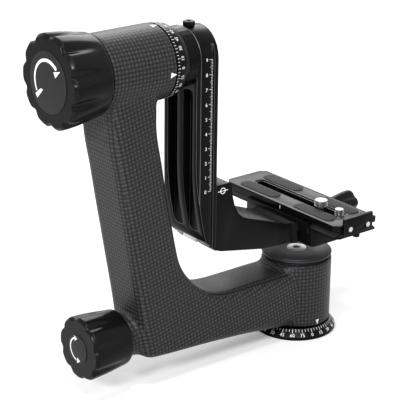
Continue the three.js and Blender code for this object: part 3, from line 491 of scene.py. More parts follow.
carbon = makeCarbon(weave)
slotFinishes = {
    "carbon": carbon, "anodised": anodised, "plate": plateLitTopFinish, "knob": knobFinish,
    "disc": discFinish, "steel": steel, "brass": brass, "rubber": rubber, "polymer": polymer,
}
slotOf = {row["node"]: row["material_slot"] for row in frame["record"]["subparts"]}
for name, node in nodes.items():
    node.data.materials.clear()
    node.data.materials.append(blackSteel if name.startswith("stop_screw") else slotFinishes[slotOf[name]])
print("materials ready")


# Carbon frame

frameSizes = {
    "halfWidth": 20.0,  # mm, along Y, of both legs
    "corner": 8.0,
    "cornerPoints": 8,
    "steps": 6,  # fine sections between two stations
    "grid": 0.95,  # of the skin's faces
    "blend": 9.0,  # how far the moulded fillets reach from the joins
    "blendPasses": 70,
    "blendPower": 0.5,
    "easePasses": 3,
    "hubRadius": 25.3,
    "hubBore": 15.0,
    "barrelRadius": 25.0,
    "barrelBore": 21.5,
    "lockBore": 5.3,
    "lockBoss": 15.2,
    "rim": 0.8,  # radius round the open ends
    "capGap": 0.3,
    "dialGap": 0.5,
    "collarGap": 0.2,
    "collarShows": 0.4,  # of the bush in front of its boss
    "bossRoot": 3,  # of the boss in the leg
    "overrun": 5,  # of a cutter past what it cuts
    "touching": 0.6,  # from the middle of a face to the round that it is on
}
# Stations of the two legs from the barrel down and along to the hub: x and z of the outer edge,
# then the way across to the inner edge
frameStations = [
    (-176.9, 226.1, 38.0, 0.0), (-176.2, 200.0, 38.0, 3.0), (-174.1, 175.9, 36.0, 4.0),
    (-170.0, 154.0, 36.0, 3.0), (-166.3, 131.9, 36.0, 3.0), (-162.5, 110.9, 36.2, 5.0),
    (-158.8, 89.9, 36.3, 8.0), (-155.2, 70.1, 36.2, 14.5), (-152.2, 51.9, 38.7, 22.5),
    (-150.4, 36.9, 43.9, 29.5), (-149.2, 24.6, 49.2, 35.9), (-145.6, 21.4, 48.6, 37.2),
    (-138.5, 20.4, 45.5, 35.6), (-121.9, 19.2, 37.5, 33.7), (-103.1, 18.0, 28.0, 33.6),
    (-82.1, 16.3, 18.0, 35.1), (-60.0, 14.2, 10.0, 37.2), (-37.9, 11.4, 4.0, 40.0),
    (-19.9, 9.4, 0.0, 42.0), (-8.0, 9.0, 0.0, 42.4),
]


def fineStations(stations, steps):
    # A smooth curve through the stations
    rows = [Vector(row) for row in stations]
    rows = [2 * rows[0] - rows[1]] + rows + [2 * rows[-1] - rows[-2]]
    fine = []
    for i in range(1, len(rows) - 2):
        a, b, c, d = rows[i - 1:i + 3]
        for step in range(steps):
            t = step / steps
            fine.append(0.5 * (2 * b + (c - a) * t + (2 * a - 5 * b + 4 * c - d) * t * t
                               + (3 * b - a - 3 * c + d) * t ** 3))
    return fine + [rows[-2]]


def legSkin(rows, sizes):
    # One section with rounded corners, drawn along the stations
    r, half, perCorner = sizes["corner"], sizes["halfWidth"], sizes["cornerPoints"]

    def settle(verts, row):
        x, z, dx, dz = row
        middle, across = Vector((x + dx / 2, 0, z + dz / 2)), Vector((dx, 0, dz))
        reach = across.length / 2
        across.normalize()
        for i, vert in enumerate(verts):
            quarter, part = divmod(i, perCorner)
            angle = math.pi / 2 * (quarter + part / (perCorner - 1))
            u = r * math.cos(angle) + (reach - r) * (1 if quarter in (0, 3) else -1)
            v = r * math.sin(angle) + (half - r) * (1 if quarter in (0, 1) else -1)
            vert.co = middle + across * u + Vector((0, v, 0))

    return drawnThrough(rows, settle, 4 * perCorner)


def makeFrame(sizes, stations):
    low, high = nodeBox("arm_body")
    collarLow, collarHigh = nodeBox("pan_lock_collar")
    dialLow, dialHigh = nodeBox("tilt_ring")
    tiltZ, lockZ = (dialLow.z + dialHigh.z) / 2, (collarLow.z + collarHigh.z) / 2
    barrelIn = dialLow.x - sizes["dialGap"]
    hubTop = nodeBox("hub_cap")[0].z - sizes["capGap"]
    hubBore, barrelBore, past = sizes["hubBore"], sizes["barrelBore"], sizes["overrun"]
    collarSeat, bossFace = collarHigh.y + sizes["collarGap"], collarLow.x + sizes["collarShows"]
    bossFoot = collarHigh.x + sizes["bossRoot"]
    rows = fineStations(stations, sizes["steps"])
    legs = legSkin(rows, sizes)
    legTree = BVHTree.FromBMesh(legs)
    legs = cutAway(legs, [
        plug(hubBore, low.z - past, hubTop + past, "z"),
        plug(barrelBore, low.x - past, barrelIn + past, "x", (0, 0, tiltZ)),
        plug(sizes["lockBore"], low.x, 0, "x", (0, 0, lockZ)),
        plug(collarSeat, low.x - past, collarHigh.x + sizes["collarGap"], "x", (0, 0, lockZ)),
    ])
    hub = turned([
        (hubBore, low.z, 0), (sizes["hubRadius"], low.z, sizes["rim"]),
        (sizes["hubRadius"], hubTop, sizes["rim"]), (hubBore, hubTop, 0),
    ], "z")
    barrel = turned([
        (barrelBore, low.x, 0), (sizes["barrelRadius"], low.x, sizes["rim"]),
        (sizes["barrelRadius"], barrelIn, sizes["rim"]), (barrelBore, barrelIn, 0),
    ], "x", (0, 0, tiltZ))
    boss = turned([
        (collarSeat, bossFace, 0), (sizes["lockBoss"], bossFace, sizes["rim"]),
        (sizes["lockBoss"], bossFoot, 0), (collarSeat, bossFoot, 0),
    ], "x", (0, 0, lockZ), facets["small"])
    rounds = joined(hub, barrel, boss)
    roundTree = BVHTree.FromBMesh(rounds)
    # One skin over legs and rounds, then fillets moulded into it where they meet
    skin = looseObject("skin", joined(legs, rounds))
    remesh = skin.modifiers.new("skin", "REMESH")
    remesh.mode, remesh.voxel_size, remesh.adaptivity = "VOXEL", sizes["grid"], 0
    mesh = settled(skin)
    skin = bpy.data.objects.new("skin", mesh)
    bpy.context.scene.collection.objects.link(skin)
    group = skin.vertex_groups.new(name="fillet")
    for vert in mesh.vertices:
        near = max(legTree.find_nearest(vert.co)[3], roundTree.find_nearest(vert.co)[3])
        weight = max(0.0, 1 - near / sizes["blend"])
        if weight > 0:
            group.add([vert.index], weight * weight * (3 - 2 * weight), "REPLACE")
    fillet = skin.modifiers.new("fillet", "SMOOTH")
    fillet.factor, fillet.iterations = sizes["blendPower"], sizes["blendPasses"]
    fillet.vertex_group = "fillet"
    ease = skin.modifiers.new("ease", "SMOOTH")
    ease.factor, ease.iterations = sizes["blendPower"], sizes["easePasses"]
    bm = bmesh.new()
    bm.from_mesh(settled(skin))
    piece = newPiece("carbon_frame", bm, "frame", carbon, ["arm_body"], sharp=60)
    layWeave(piece.data, rows, sizes, hubTop, barrelIn, tiltZ)
    print("carbon frame ready:", len(piece.data.polygons), "faces")


def vectorsOf(collection, field):
    # A vector of each vertex or face, as rows
    values = np.zeros(len(collection) * 3)
    collection.foreach_get(field, values)
    return values.reshape(-1, 3)


def layWeave(mesh, rows, sizes, hubTop, barrelIn, tiltZ):
    # Lays the cloth in metres: round the hub and the barrel, and flat on the four sides of the legs
    count, touching = len(mesh.polygons), sizes["touching"]
    corners, totals = np.zeros(len(mesh.loops), int), np.zeros(count, int)
    mesh.loops.foreach_get("vertex_index", corners)
    mesh.polygons.foreach_get("loop_total", totals)
    place = (vectorsOf(mesh.vertices, "co") / mm)[corners]
    normals = vectorsOf(mesh.polygons, "normal")
    centres = vectorsOf(mesh.polygons, "center") / mm
    faceOf = np.repeat(np.arange(count), totals)
    table = np.array([tuple(row) for row in rows])
    starts, across = table[:, :2], table[:, 2:]
    middles = starts + across / 2
    lengths = np.concatenate([[0], np.cumsum(np.linalg.norm(np.diff(middles, axis=0), axis=1))])
    across = across / np.linalg.norm(across, axis=1)[:, None]
    travel = np.gradient(middles, axis=0)
    travel = travel / np.linalg.norm(travel, axis=1)[:, None]
    # Nearest station of each face, then each corner's place along the leg from it
    flat = centres[:, [0, 2]]
    best, least = np.zeros(count, int), np.full(count, np.inf)
    for i, middle in enumerate(middles):
        gap = np.linalg.norm(flat - middle, axis=1)
        closer = gap < least
        best[closer], least[closer] = i, gap[closer]
    station = best[faceOf]
    offset = place[:, [0, 2]] - middles[station]
    along = lengths[station] + np.sum(offset * travel[station], axis=1)
    normalU = np.sum(normals[:, [0, 2]] * across[best], axis=1)[faceOf]
    broad = np.abs(normals[:, 1][faceOf]) > np.abs(normalU)
    lay = math.radians(weave["lay"])
    flatways = np.stack([place[:, 0] * math.cos(lay) + place[:, 2] * math.sin(lay),
                         place[:, 2] * math.cos(lay) - place[:, 0] * math.sin(lay)], 1)
    uv = np.where(broad[:, None], flatways, np.stack([along, place[:, 1]], 1))
    hubGap = np.abs(np.hypot(centres[:, 0], centres[:, 1]) - sizes["hubRadius"])
    onHub = ((hubGap < touching) & (centres[:, 2] < hubTop + 1))[faceOf]
    angle = np.arctan2(place[:, 1], place[:, 0] + 1e-9)
    uv[onHub] = np.stack([angle * sizes["hubRadius"], place[:, 2]], 1)[onHub]
    barrelGap = np.abs(np.hypot(centres[:, 1], centres[:, 2] - tiltZ) - sizes["barrelRadius"])
    onBarrel = ((barrelGap < touching) & (centres[:, 0] < barrelIn + 1))[faceOf]
    angle = np.arctan2(place[:, 1], place[:, 2] - tiltZ)
    uv[onBarrel] = np.stack([angle * sizes["barrelRadius"], place[:, 0]], 1)[onBarrel]
    layer = mesh.uv_layers.new(name="weave")
    layer.data.foreach_set("uv", (uv * mm).ravel())


makeFrame(frameSizes, frameStations)

# Base and hub cap

baseSizes = {
    "band": 2.2,  # mm, height of the upright foot
    "top": 25.6,  # radius that the coned face runs in to
    "edge": 0.5,
    "shoulder": 0.35,  # between the upright band and the cone
    "rim": 0.3,
    "boreGap": 0.2,  # round the thread insert
    "boreEdge": 0.4,
}


def makeBase(sizes):
    low, high = nodeBox("base_ring")
    inner = nodeBox("thread_insert")[1].x + sizes["boreGap"]
    bm = turned([
        (inner, low.z, sizes["boreEdge"]), (high.x, low.z, sizes["edge"]),
        (high.x, sizes["band"], sizes["shoulder"]), (sizes["top"], high.z, sizes["rim"]), (inner, high.z, 0),
    ], "z", steps=facets["ring"])
    newPiece("degree_ring", bm, "base", anodised, ["base_ring"], sharp=50)


makeBase(baseSizes)

capSizes = {
    "edge": 0.5,  # mm, round the cap's top
    "step": 0.9,  # from the rim in to the top's edge
    "drop": 1.0,  # of the rim below the top
    "dropEdge": 0.1,  # further down to the rim's outer corner
    "lip": 0.3,  # round the rim
    "neck": 2.4,  # in from the rim
    "neckHeight": 2.2,
    "bore": 3.2,
    "openingEdge": 0.15,
    "seat": 1.4,  # depth of the screw's seat below the top
    "shimWidth": 1.2,
    "shimEdge": 0.12,
}
capScrewSizes = {
    "head": 7.0,  # mm, radius
    "headGap": 0.3,
    "headEdge": 0.35,
    "headFoot": 0.1,  # round the head's underside
    "shank": 3.0,
    "shankEdge": 0.3,
    "rise": 0.2,  # of the head off its seat
    "hexagon": 2.9,
    "socket": 1.6,  # depth below the seat
}


def makeCap(sizes, screw):
    low, high = nodeBox("hub_cap")
    screwLow, screwHigh = nodeBox("cap_screw")
    neck, lip, seat = high.x - sizes["neck"], low.z + sizes["neckHeight"], high.z - sizes["seat"]
    top, opening = high.x - sizes["step"], screw["head"] + screw["headGap"]
    bm = turned([
        (sizes["bore"], low.z, 0), (neck, low.z, 0), (neck, lip, 0), (high.x, lip, sizes["lip"]),
        (high.x, high.z - sizes["drop"] - sizes["dropEdge"], sizes["lip"]), (top, high.z - sizes["drop"], 0),
        (top, high.z, sizes["edge"]), (opening, high.z, sizes["openingEdge"]), (opening, seat, 0),
        (sizes["bore"], seat, 0),
    ], "z", steps=facets["ring"])
    newPiece("hub_cap_turned", bm, "base", capFinish, ["hub_cap"], sharp=50)
    low, high = nodeBox("cap_shim")
    inner = high.x - sizes["shimWidth"]
    bm = turned([
        (inner, low.z, 0), (high.x, low.z, sizes["shimEdge"]), (high.x, high.z, sizes["shimEdge"]),
        (inner, high.z, 0),
    ], "z", steps=facets["ring"])
    newPiece("cap_shim_turned", bm, "base", anodised, ["cap_shim"], sharp=50)
    foot, floor = seat + screw["rise"], seat - screw["socket"]
    bm = turned([
        (0, screwLow.z, 0), (screw["shank"], screwLow.z, screw["shankEdge"]), (screw["shank"], foot, 0),
        (screw["head"], foot, screw["headFoot"]), (screw["head"], screwHigh.z, screw["headEdge"]),
        (0, screwHigh.z, 0),
    ], "z", steps=facets["small"])
    socket = turned([
        (0, floor, 0), (screw["hexagon"], floor, 0), (screw["hexagon"], screwHigh.z + 1, 0),
        (0, screwHigh.z + 1, 0),
    ], "z", steps=facets["hexagon"])
    newPiece("cap_screw_turned", cutAway(bm, [socket]), "base", steel, ["cap_screw"])


makeCap(capSizes, capScrewSizes)

# Tilt ring and cone

tiltSizes = {
    "bore": 14.2,  # mm
    "narrowing": 1.1,  # of the dial towards the cone
    "edge": 0.35,
    "coneNarrowing": 3.0,
    "coneEdge": 0.4,
}


def makeTiltTurnings(sizes):
    rings = {
        "tilt_ring": ("tilt_degree_ring", sizes["narrowing"], sizes["edge"]),
        "tilt_cone": ("tilt_cone_turned", sizes["coneNarrowing"], sizes["coneEdge"]),
    }
    for node, (name, narrowing, edge) in rings.items():
        low, high = nodeBox(node)
        bm = turned([
            (sizes["bore"], low.x, 0), (high.y, low.x, edge), (high.y - narrowing, high.x, edge),
            (sizes["bore"], high.x, 0),
        ], "x", (0, 0, (low.z + high.z) / 2), facets["ring"])
        newPiece(name, bm, "swing", anodised, [node], sharp=50)


makeTiltTurnings(tiltSizes)
print("turned rings ready")

# Lobed knobs

# Stations of a knob from its open face back to the frame: shares of the length, of the radius
# and of the flutes' depth
roundStations = [
    (0.0, 0.925, 0.8), (0.003, 0.937, 0.83), (0.009, 0.946, 0.86), (0.05, 0.987, 0.97), (0.06, 0.995, 1.0),
    (0.072, 0.999, 1.0), (0.1, 1.0, 0.99), (0.2, 0.995, 0.95), (0.3, 0.987, 0.86), (0.42, 0.973, 0.7),
    (0.54, 0.955, 0.51), (0.66, 0.935, 0.32), (0.78, 0.91, 0.16), (0.88, 0.895, 0.05), (0.94, 0.885, 0.0),
    (0.965, 0.878, 0.0), (0.985, 0.866, 0.0), (1.0, 0.845, 0.0),
]
starStations = [
    (0.0, 0.8, 0.6), (0.01, 0.85, 0.7), (0.03, 0.9, 0.82), (0.06, 0.945, 0.92), (0.1, 0.975, 0.97),
    (0.15, 0.995, 1.0), (0.22, 1.0, 1.0), (0.35, 0.985, 0.97), (0.5, 0.94, 0.88), (0.65, 0.875, 0.7),
    (0.8, 0.81, 0.42), (0.92, 0.765, 0.15), (1.0, 0.74, 0.0),
]
roundKnob = {"depth": 0.1, "sharpness": 3.0, "stations": roundStations}
starKnob = {"lobes": 5, "turn": 18, "depth": 0.2, "sharpness": 1.3, "stations": starStations}
knobs = {
    # CAD node: radius in mm, lobes, turn of the first lobe in degrees, depth of the flutes as a share
    # of the radius, how narrow they are, stations
    "tilt_knob": {"radius": 30.3, "lobes": 10, "turn": 0, **roundKnob},
    "pan_knob": {"radius": 21.8, "lobes": 8, "turn": 7, **roundKnob},
    "clamp_knob": {"radius": 9.6, **starKnob},
    "height_knob": {"radius": 8.6, **starKnob},
}
discSeat = {
    "rim": 0.5,  # mm, of the face round the disc's seat
    "edge": 0.35,
}


def lobedKnob(form, centre, axis, length, perLobe=24):
    # Rings of a scalloped outline, drawn out of one circle station by station, away from the open face
    steps = form["lobes"] * perLobe
    angles = [math.tau * i / steps for i in range(steps)]
    place = Matrix.Translation(centre) @ axisTurn[axis] @ Matrix.Rotation(math.radians(form["turn"]), 4, "Z")

    def settle(verts, station):
        along, share, fluteShare = station
        for vert, angle in zip(verts, angles):
            scoop = ((1 - math.cos(form["lobes"] * angle)) / 2) ** form["sharpness"]
            reach = form["radius"] * (share - form["depth"] * fluteShare * scoop)
            vert.co = place @ Vector((reach * math.cos(angle), reach * math.sin(angle), along * length))

    return drawnThrough(form["stations"], settle, steps)


def makeLockKnob(prefix, body):
    low, high = nodeBox(prefix + "_knob")
    discLow, discHigh = nodeBox(prefix + "_knob_disc")
    disc, axisZ = (discHigh.y - discLow.y) / 2, (discLow.z + discHigh.z) / 2
    bm = lobedKnob(knobs[prefix + "_knob"], Vector((low.x, 0, axisZ)), "x", high.x - low.x)
    # The open face steps in to the seat of the disc
    face = min(bm.faces, key=lambda f: f.calc_center_median().x)
    bmesh.ops.inset_individual(bm, faces=[face], thickness=discSeat["rim"], use_even_offset=True)
    newPiece(prefix + "_knob_lobed", bm, body, knobFinish, [prefix + "_knob"], sharp=40)
    cover = turned([
        (0, discLow.x, 0), (disc, discLow.x, discSeat["edge"]), (disc, discHigh.x, 0), (0, discHigh.x, 0),
    ], "x", (0, 0, axisZ))
    newPiece(prefix + "_knob_cover", cover, body, discFinish, [prefix + "_knob_disc"], sharp=40)


makeLockKnob("tilt", "tilt_lock")
makeLockKnob("pan", "pan_lock")
print("lock knobs ready")


starSizes = {
    "length": 15,  # mm, of the height knob's star
    "stem": 2.6,
    "collar": 4.5,
    "collarLength": 6,
    "collarEdge": 0.3,
    "overlap": 1,  # of the collar in the star
}


def makeStarKnobs(sizes):
    low, high = nodeBox("clamp_knob")
    washerLow, washerHigh = nodeBox("clamp_washer")
    centre = Vector((high.x, 0, (washerLow.z + washerHigh.z) / 2))
    bm = lobedKnob(knobs["clamp_knob"], centre, "x", low.x - high.x)
    newPiece("clamp_knob_star", bm, "clamp_screw", knobFinish, ["clamp_knob"], sharp=40)
    low, high = nodeBox("height_knob")
    padLow, padHigh = nodeBox("height_brake_pad")
    x, z = (low.x + high.x) / 2, (padLow.z + padHigh.z) / 2
    back, stem, collar = high.y - sizes["length"], sizes["stem"], sizes["collar"]
    bm = lobedKnob(knobs["height_knob"], Vector((x, high.y, z)), "y", -sizes["length"])
    neck = turned([
        (0, low.y, 0), (stem, low.y, 0), (stem, back - sizes["collarLength"], 0),
        (collar, back - sizes["collarLength"], sizes["collarEdge"]), (collar, back + sizes["overlap"], 0),
        (0, back + sizes["overlap"], 0),
    ], "y", (x, 0, z), facets["rod"])
    newPiece("height_knob_star", joined(bm, neck), "height_lock", knobFinish, ["height_knob"],
             sharp=40)


makeStarKnobs(starSizes)

# Screws

screws = {
    # node: body, thread radius and pitch in mm, how deep in the slot the thread starts.
    # The wide one stays above the plate
    "three_eighths_screw": ("big_screw", 4.76, 1.588, -0.3),
    "quarter_screw": ("small_screw", 3.17, 1.27, 1.2),
}
screwSizes = {
    "head": 5.2,  # mm, radius under the plate
    "headHeight": 2,
    "headEdge": 0.2,
    "neck": 2.9,
    "groove": 0.4,  # depth of the thread as a share of its pitch
    "flanks": (0.04, 0.3, 0.74),  # heights of the groove's end and the crest's ends, as shares of the pitch
}
armScrewSizes = {
    "radius": 4.0,  # mm, of the knurled head
    "height": 3,
    "lobes": 24,
    "turn": 0,
    "depth": 0.07,  # of the knurl, as a share of the radius
    "sharpness": 1.0,
    "stations": [(0.0, 0.84, 0.0), (0.08, 0.95, 0.3), (0.16, 1.0, 1.0), (0.9, 1.0, 1.0), (1.0, 0.95, 0.3)],
    "hexagon": 1.7,
    "socketFloor": 1.2,  # above the head's foot
    "shank": 2.0,
    "shankEdge": 0.3,
    "overlap": 0.5,  # of the shank in the head
}


def makeCameraScrew(node, row, sizes):
    # Its thread is cut as rings, one to a pitch
    body, radius, pitch, start = row
    low, high = nodeBox(node)
    head, neck, shoulder = sizes["head"], sizes["neck"], low.z + sizes["headHeight"]
    foot, root = nodeBox("plate")[1].z - start, radius - sizes["groove"] * pitch
    turns = round((high.z - foot) / pitch)
    pitch = (high.z - foot) / turns
    profile = [(0, low.z, 0), (head, low.z, sizes["headEdge"]), (head, shoulder, 0), (neck, shoulder, 0),
               (neck, foot, 0)]
    for turn in range(turns):
        rootEnd, crest, crestEnd = [foot + (turn + share) * pitch for share in sizes["flanks"]]
        profile += [(root, rootEnd, 0), (radius, crest, 0), (radius, crestEnd, 0),
                    (root, foot + (turn + 1) * pitch, 0)]
    profile.append((0, high.z, 0))
    bm = turned(profile, "z", (0, (low.y + high.y) / 2, 0), facets["rod"])
    newPiece(node + "_threaded", bm, body, screwSteel, [node], sharp=25)


def makeArmScrew(sizes):
    low, high = nodeBox("arm_screw")
    x, foot = (low.x + high.x) / 2, high.z - sizes["height"]
    hexagon, shank = sizes["hexagon"], sizes["shank"]
    cap = lobedKnob(sizes, Vector((x, 0, high.z)), "z", -sizes["height"], perLobe=6)
    floor, into = foot + sizes["socketFloor"], foot + sizes["overlap"]
    socket = turned([
        (0, floor, 0), (hexagon, floor, 0), (hexagon, high.z + 1, 0), (0, high.z + 1, 0),
    ], "z", (x, 0, 0), facets["hexagon"])
    shaft = turned([
        (0, low.z, 0), (shank, low.z, sizes["shankEdge"]), (shank, into, 0), (0, into, 0),
    ], "z", (x, 0, 0), facets["pin"])
    newPiece("arm_screw_knurled", joined(cutAway(cap, [socket]), shaft), "arm_top_screw",
             anodised, ["arm_screw"])


for node, row in screws.items():
    makeCameraScrew(node, row, screwSizes)
makeArmScrew(armScrewSizes)
print("small knobs and screws ready")

# Milled parts with broken edges

near = 0.02  # mm, between points of the plate that are one


def squareCorner(bm):
    # The plate's cut corner beside the clamp knob's jaw runs on square to the end
    end = min(vert.co.y for vert in bm.verts)
    side = max(vert.co.x for vert in bm.verts)
    cut = min(vert.co.y for vert in bm.verts if vert.co.x > side - near)
    for vert in bm.verts:
        if vert.co.x > 0 and abs(vert.co.x - side - (vert.co.y - cut)) < near:
            vert.co.y = end


def blackenSides(piece):
    # Painted light: the plate's top keeps a paler satin, painted as if lit, and its sides and underside are
    # painted as black as what is round it, as painted shade
    piece.data.materials.append(anodised)
    for face in piece.data.polygons:
        if face.material_index == 0 and face.normal.z < 0.5:
            face.material_index = 2


milled = {
    # node: body, slot, material, width of the broken edge in mm
    "swing_arm": ("swing", "anodised", anodised, 0.45),
    "cradle": ("cradle", "anodised", anodised, 0.4),
    "clamp_jaw": ("moving_jaw", "anodised", anodised, 0.35),
    "plate": ("plate", "plate", plateLitTopFinish, 0.3),
    "end_block": ("plate", "anodised", anodised, 0.35),
}
for node, (body, slot, material, width) in milled.items():
    bm = softened(node, width, squareCorner if node == "plate" else None)
    # The broken edges of the milled parts take the painted edge highlight
    piece = newPiece(node + "_milled", bm, body, material, [node], edges=paintedEdgeHighlight)
    if node == "plate":
        blackenSides(piece)

pads = {
    "widening": 1.25,  # across the plate, of the strips beside the screws' slots
    "edge": 0.2,
}
for node in ("pad_front_left", "pad_front_right", "pad_rear_left", "pad_rear_right"):
    low, high = nodeBox(node)
    centre = (low + high) / 2
    bm = softened(node, pads["edge"])
    bmesh.ops.scale(bm, vec=(pads["widening"], 1, 1), space=Matrix.Translation(-centre), verts=bm.verts)
    newPiece(node + "_moulded", bm, "plate", netRubber, [node], edges=netRubber)
print("milled parts ready")


# Printed dials, scale and arrows

ink = {
    "thickness": 0.06,  # mm
    "gap": 0.01,  # between the ink and its surface
    "bar": 0.3,  # width of a line of a scale
    "patch": 5 / 6,  # across a thin place
    "figureBody": 0.72,  # height of a figure as a share of the font's size
}


def makePrint(name, full, thin):
    # Pad-printed ink: an even, nearly matt white, a little thin in places
    material, tree, shader = newMaterial(name, Roughness=0.5, Specular_IOR_Level=0.3)
    cover = addNode(tree, "TexNoise", {"Scale": 1 / ink["patch"], "Detail": 3.0},
                    {"Vector": objectMillimetres(tree)})
    mixed = addNode(tree, "Mix", {"data_type": "RGBA", 6: linear(thin), 7: linear(full)},
                    {0: cover.outputs["Fac"]})
    tree.links.new(mixed.outputs[2], shader.inputs["Base Color"])
    return material


whitePrint = makePrint("whitePadPrint", "fafaf8", "eeeeec")


def addShape(bm, *corners):
    # A flat outline in the plane of the print: across, up
    verts = [bm.verts.new((u, v, 0)) for u, v in corners]
    bmesh.ops.contextual_create(bm, geom=verts)


def addBar(bm, left, right, foot, head):
    addShape(bm, (left, foot), (right, foot), (right, head), (left, head))


def addArc(bm, centre, radius, start, end, width, tail, steps=40):
    # A curved stroke from start to end in degrees, its width running to that of its tail
    way = Vector((math.cos(math.radians(start)), math.sin(math.radians(start)), 0))
    first = [bm.verts.new(way * (radius + side * width / 2)) for side in (-1, 1)]
    before = len(bm.verts) - 2
    bmesh.ops.spin(bm, geom=first + [bm.edges.new(first)], axis=(0, 0, 1), cent=(0, 0, 0),
                   angle=math.radians(end - start), steps=steps)
    bm.verts.ensure_lookup_table()
    for vert in bm.verts[before:]:
        gone = (math.degrees(math.atan2(vert.co.y, vert.co.x)) - start) % 360 / (end - start)
        side = 1 if vert.co.length > radius else -1
        reach = radius + side * (width + (tail - width) * min(gone, 1)) / 2
        vert.co = vert.co.normalized() * reach + Vector((centre[0], centre[1], 0))


def addFigures(bm, text, height, u, v):
    curve = bpy.data.curves.new("figures", "FONT")
    curve.body, curve.size, curve.resolution_u = text, height / ink["figureBody"], 3
    made = bpy.data.objects.new("figures", curve)
    bpy.context.scene.collection.objects.link(made)
    mesh = settled(made)
    across, up = [vert.co.x for vert in mesh.vertices], [vert.co.y for vert in mesh.vertices]
    before = len(bm.verts)
    bm.from_mesh(mesh)
    bm.verts.ensure_lookup_table()
    shift = (u - (min(across) + max(across)) / 2, v - (min(up) + max(up)) / 2, 0)
    bmesh.ops.translate(bm, vec=shift, verts=bm.verts[before:])


def layDial(dial, reach, figureAt):
    # The lines of a dial, down from its edge, with a figure under each long one
    bm, half = bmesh.new(), ink["bar"] / 2
    for turn in range(0, 360, dial["lines"]):
        u = math.radians(dial["zero"] + turn) * reach
        numbered = turn % dial["figures"] == 0
        foot = -dial["inset"] - dial["long" if numbered else "short"]
        addBar(bm, u - half, u + half, foot, -dial["inset"])
        if numbered:
            addFigures(bm, str(figureAt(turn)), dial["height"], u, -dial["middle"])
    return bm


def newPrint(name, bm, body, place):
    # Gives the flat print its thickness and lays it on its surface: across, up and off it
    bmesh.ops.recalc_face_normals(bm, faces=bm.faces)
    bmesh.ops.solidify(bm, geom=bm.faces[:], thickness=ink["thickness"])
    low = min(vert.co.z for vert in bm.verts)
    for vert in bm.verts:
        vert.co = place(vert.co.x, vert.co.y, vert.co.z - low + ink["gap"])
    bmesh.ops.recalc_face_normals(bm, faces=bm.faces)
    newPiece(name, bm, body, whitePrint)


panDial = {
    "zero": -104.5,  # degrees round the pan axis
    "lines": 5,  # degrees apart
    "figures": 15,
    "repeat": 90,
    "short": 2.0,  # mm down the cone
    "long": 2.9,
    "inset": 0.25,
    "height": 2.5,  # of the figures
    "middle": 4.85,  # of the figures, down the cone
    "index": (-91.5, 8.7, 12.8, 1.35),  # white triangle on the hub: angle, tip and foot in z, half width
}


def makePanDial(dial):
    low, high = nodeBox("base_ring")
    top = baseSizes["top"]
    down = Vector((high.x - top, baseSizes["band"] - high.z)).normalized()
    reach = top + dial["middle"] * down.x
    bm = layDial(dial, reach, lambda turn: turn % dial["repeat"])

    def onCone(u, v, off):
        r, z = top - v * down.x - off * down.y, high.z - v * down.y + off * down.x
        return Vector((r * math.cos(u / reach), r * math.sin(u / reach), z))

    newPrint("pan_dial_print", bm, "base", onCone)
    angle, tip, foot, half = dial["index"]
    bm = bmesh.new()
    addShape(bm, (-half, foot), (0, tip), (half, foot))

    def onHub(u, v, off):
        r, turn = frameSizes["hubRadius"] + off, math.radians(angle) + u / frameSizes["hubRadius"]
        return Vector((r * math.cos(turn), r * math.sin(turn), v))

    newPrint("pan_index_print", bm, "frame", onHub)


tiltDial = {
    "zero": 179.5,  # degrees round the tilt axis, from +Y up
    "lines": 5,
    "figures": 15,
    "short": 1.5,  # mm in from the barrel's side
    "long": 2.2,
    "inset": 0.25,
    "height": 2.4,
    "middle": 4.8,
    "indexes": (186.5, 100.0),
    "tip": 0.9,  # of the white triangles, from the dial
    "foot": 5.6,
    "half": 1.9,
}


def makeTiltDial(dial):
    low, high = nodeBox("tilt_ring")
    axisZ, outer = (low.z + high.z) / 2, high.y
    narrowing = tiltSizes["narrowing"] / (high.x - low.x)
    bm = layDial(dial, -outer, lambda turn: min(turn, 360 - turn))

    def onRing(u, v, off):
        r = outer + v * narrowing + off
        return Vector((low.x - v, r * math.cos(-u / outer), axisZ + r * math.sin(-u / outer)))

    newPrint("tilt_dial_print", bm, "swing", onRing)
    bm = bmesh.new()
    for angle in dial["indexes"]:
        u = -math.radians(angle) * frameSizes["barrelRadius"]
        addShape(bm, (u - dial["half"], dial["foot"]), (u, dial["tip"]), (u + dial["half"], dial["foot"]))

    def onBarrel(u, v, off):
        r = frameSizes["barrelRadius"] + off
        turn = -u / frameSizes["barrelRadius"]
        return Vector((low.x - v, r * math.cos(turn), axisZ + r * math.sin(turn)))

    newPrint("tilt_index_print", bm, "frame", onBarrel)


armScale = {
    "zero": 131.07,  # mm, height of the 0 line
    "length": 90,
    "right": -96.3,  # where the lines end
    "lines": (1.2, 2.0, 2.8),  # lengths at 1, 5 and 10 mm
    "bar": 0.22,
    "middle": -101.1,
    "height": 2.4,
    "index": (-86.0, 128.7),  # ring with a bar through it on the carriage: x, z
    "ring": 1.95,
    "ringLine": 0.55,
    "reach": 4.3,  # half length of the bar
    "indexBar": 0.44,
}


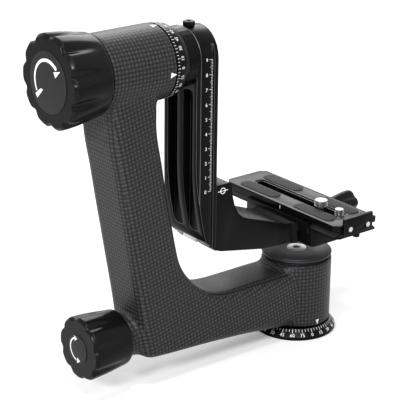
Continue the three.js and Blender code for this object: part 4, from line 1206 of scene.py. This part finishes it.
def makeArmScale(scale):
    face = nodeBox("swing_arm")[0].y
    short, middling, full = scale["lines"]
    bm = bmesh.new()
    for i in range(scale["length"] + 1):
        z, length = scale["zero"] + i, full if i % 10 == 0 else middling if i % 5 == 0 else short
        addBar(bm, scale["right"] - length, scale["right"], z - scale["bar"] / 2, z + scale["bar"] / 2)
        if i % 10 == 0:
            addFigures(bm, str(i // 10), scale["height"], scale["middle"], z)

    def onFace(u, v, off):
        return Vector((u, face - off, v))

    newPrint("arm_scale_print", bm, "swing", onFace)
    x, z = scale["index"]
    bm = bmesh.new()
    addArc(bm, (x, z), scale["ring"], 0, 359.9, scale["ringLine"], scale["ringLine"])
    addBar(bm, x - scale["reach"], x + scale["reach"], z - scale["indexBar"] / 2, z + scale["indexBar"] / 2)
    newPrint("carriage_index_print", bm, "cradle", onFace)


plateMark = {
    "along": -1.2,  # mm, of the line at the middle of the plate's side
    "foot": 94.8,
    "head": 97.6,
    "width": 0.5,
}


def makePlateMark(mark):
    side, half = nodeBox("plate")[0].x, mark["width"] / 2
    bm = bmesh.new()
    addBar(bm, mark["along"] - half, mark["along"] + half, mark["foot"], mark["head"])

    def onSide(u, v, off):
        return Vector((side - off, u, v))

    newPrint("plate_mark_print", bm, "plate", onSide)


discArrows = {
    # knob: body, then the arc's radius, start and end in degrees, width and tail, and the corners
    # of its two heads, in mm about the axis
    "tilt": ("tilt_lock", (14.0, 46, 212, 2.4, 1.2), ((6.8, 8.3), (8.8, 5.0), (13.9, 10.0)),
             ((-5.2, -5.6), (-7.6, -5.2), (-13.6, -9.6), (-11.5, -12.0))),
    "pan": ("pan_lock", (7.9, 112, 262, 1.1, 0.8), ((-3.4, 9.2), (-2.6, 5.4), (0.0, 7.7)),
            ((-0.6, -10.0), (-0.2, -5.9), (3.0, -7.6))),
}


def makeDiscArrow(prefix, row):
    body, arc, first, last = row
    low, high = nodeBox(prefix + "_knob_disc")
    axisZ = (low.z + high.z) / 2
    bm = bmesh.new()
    addArc(bm, (0, 0), *arc)
    addShape(bm, *first)
    addShape(bm, *last)

    def onDisc(u, v, off):
        return Vector((low.x - off, -u, axisZ + v))

    newPrint(prefix + "_arrow_print", bm, body, onDisc)


makePanDial(panDial)
makeTiltDial(tiltDial)
makeArmScale(armScale)
makePlateMark(plateMark)
for prefix, row in discArrows.items():
    makeDiscArrow(prefix, row)
print("prints ready")

low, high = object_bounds()
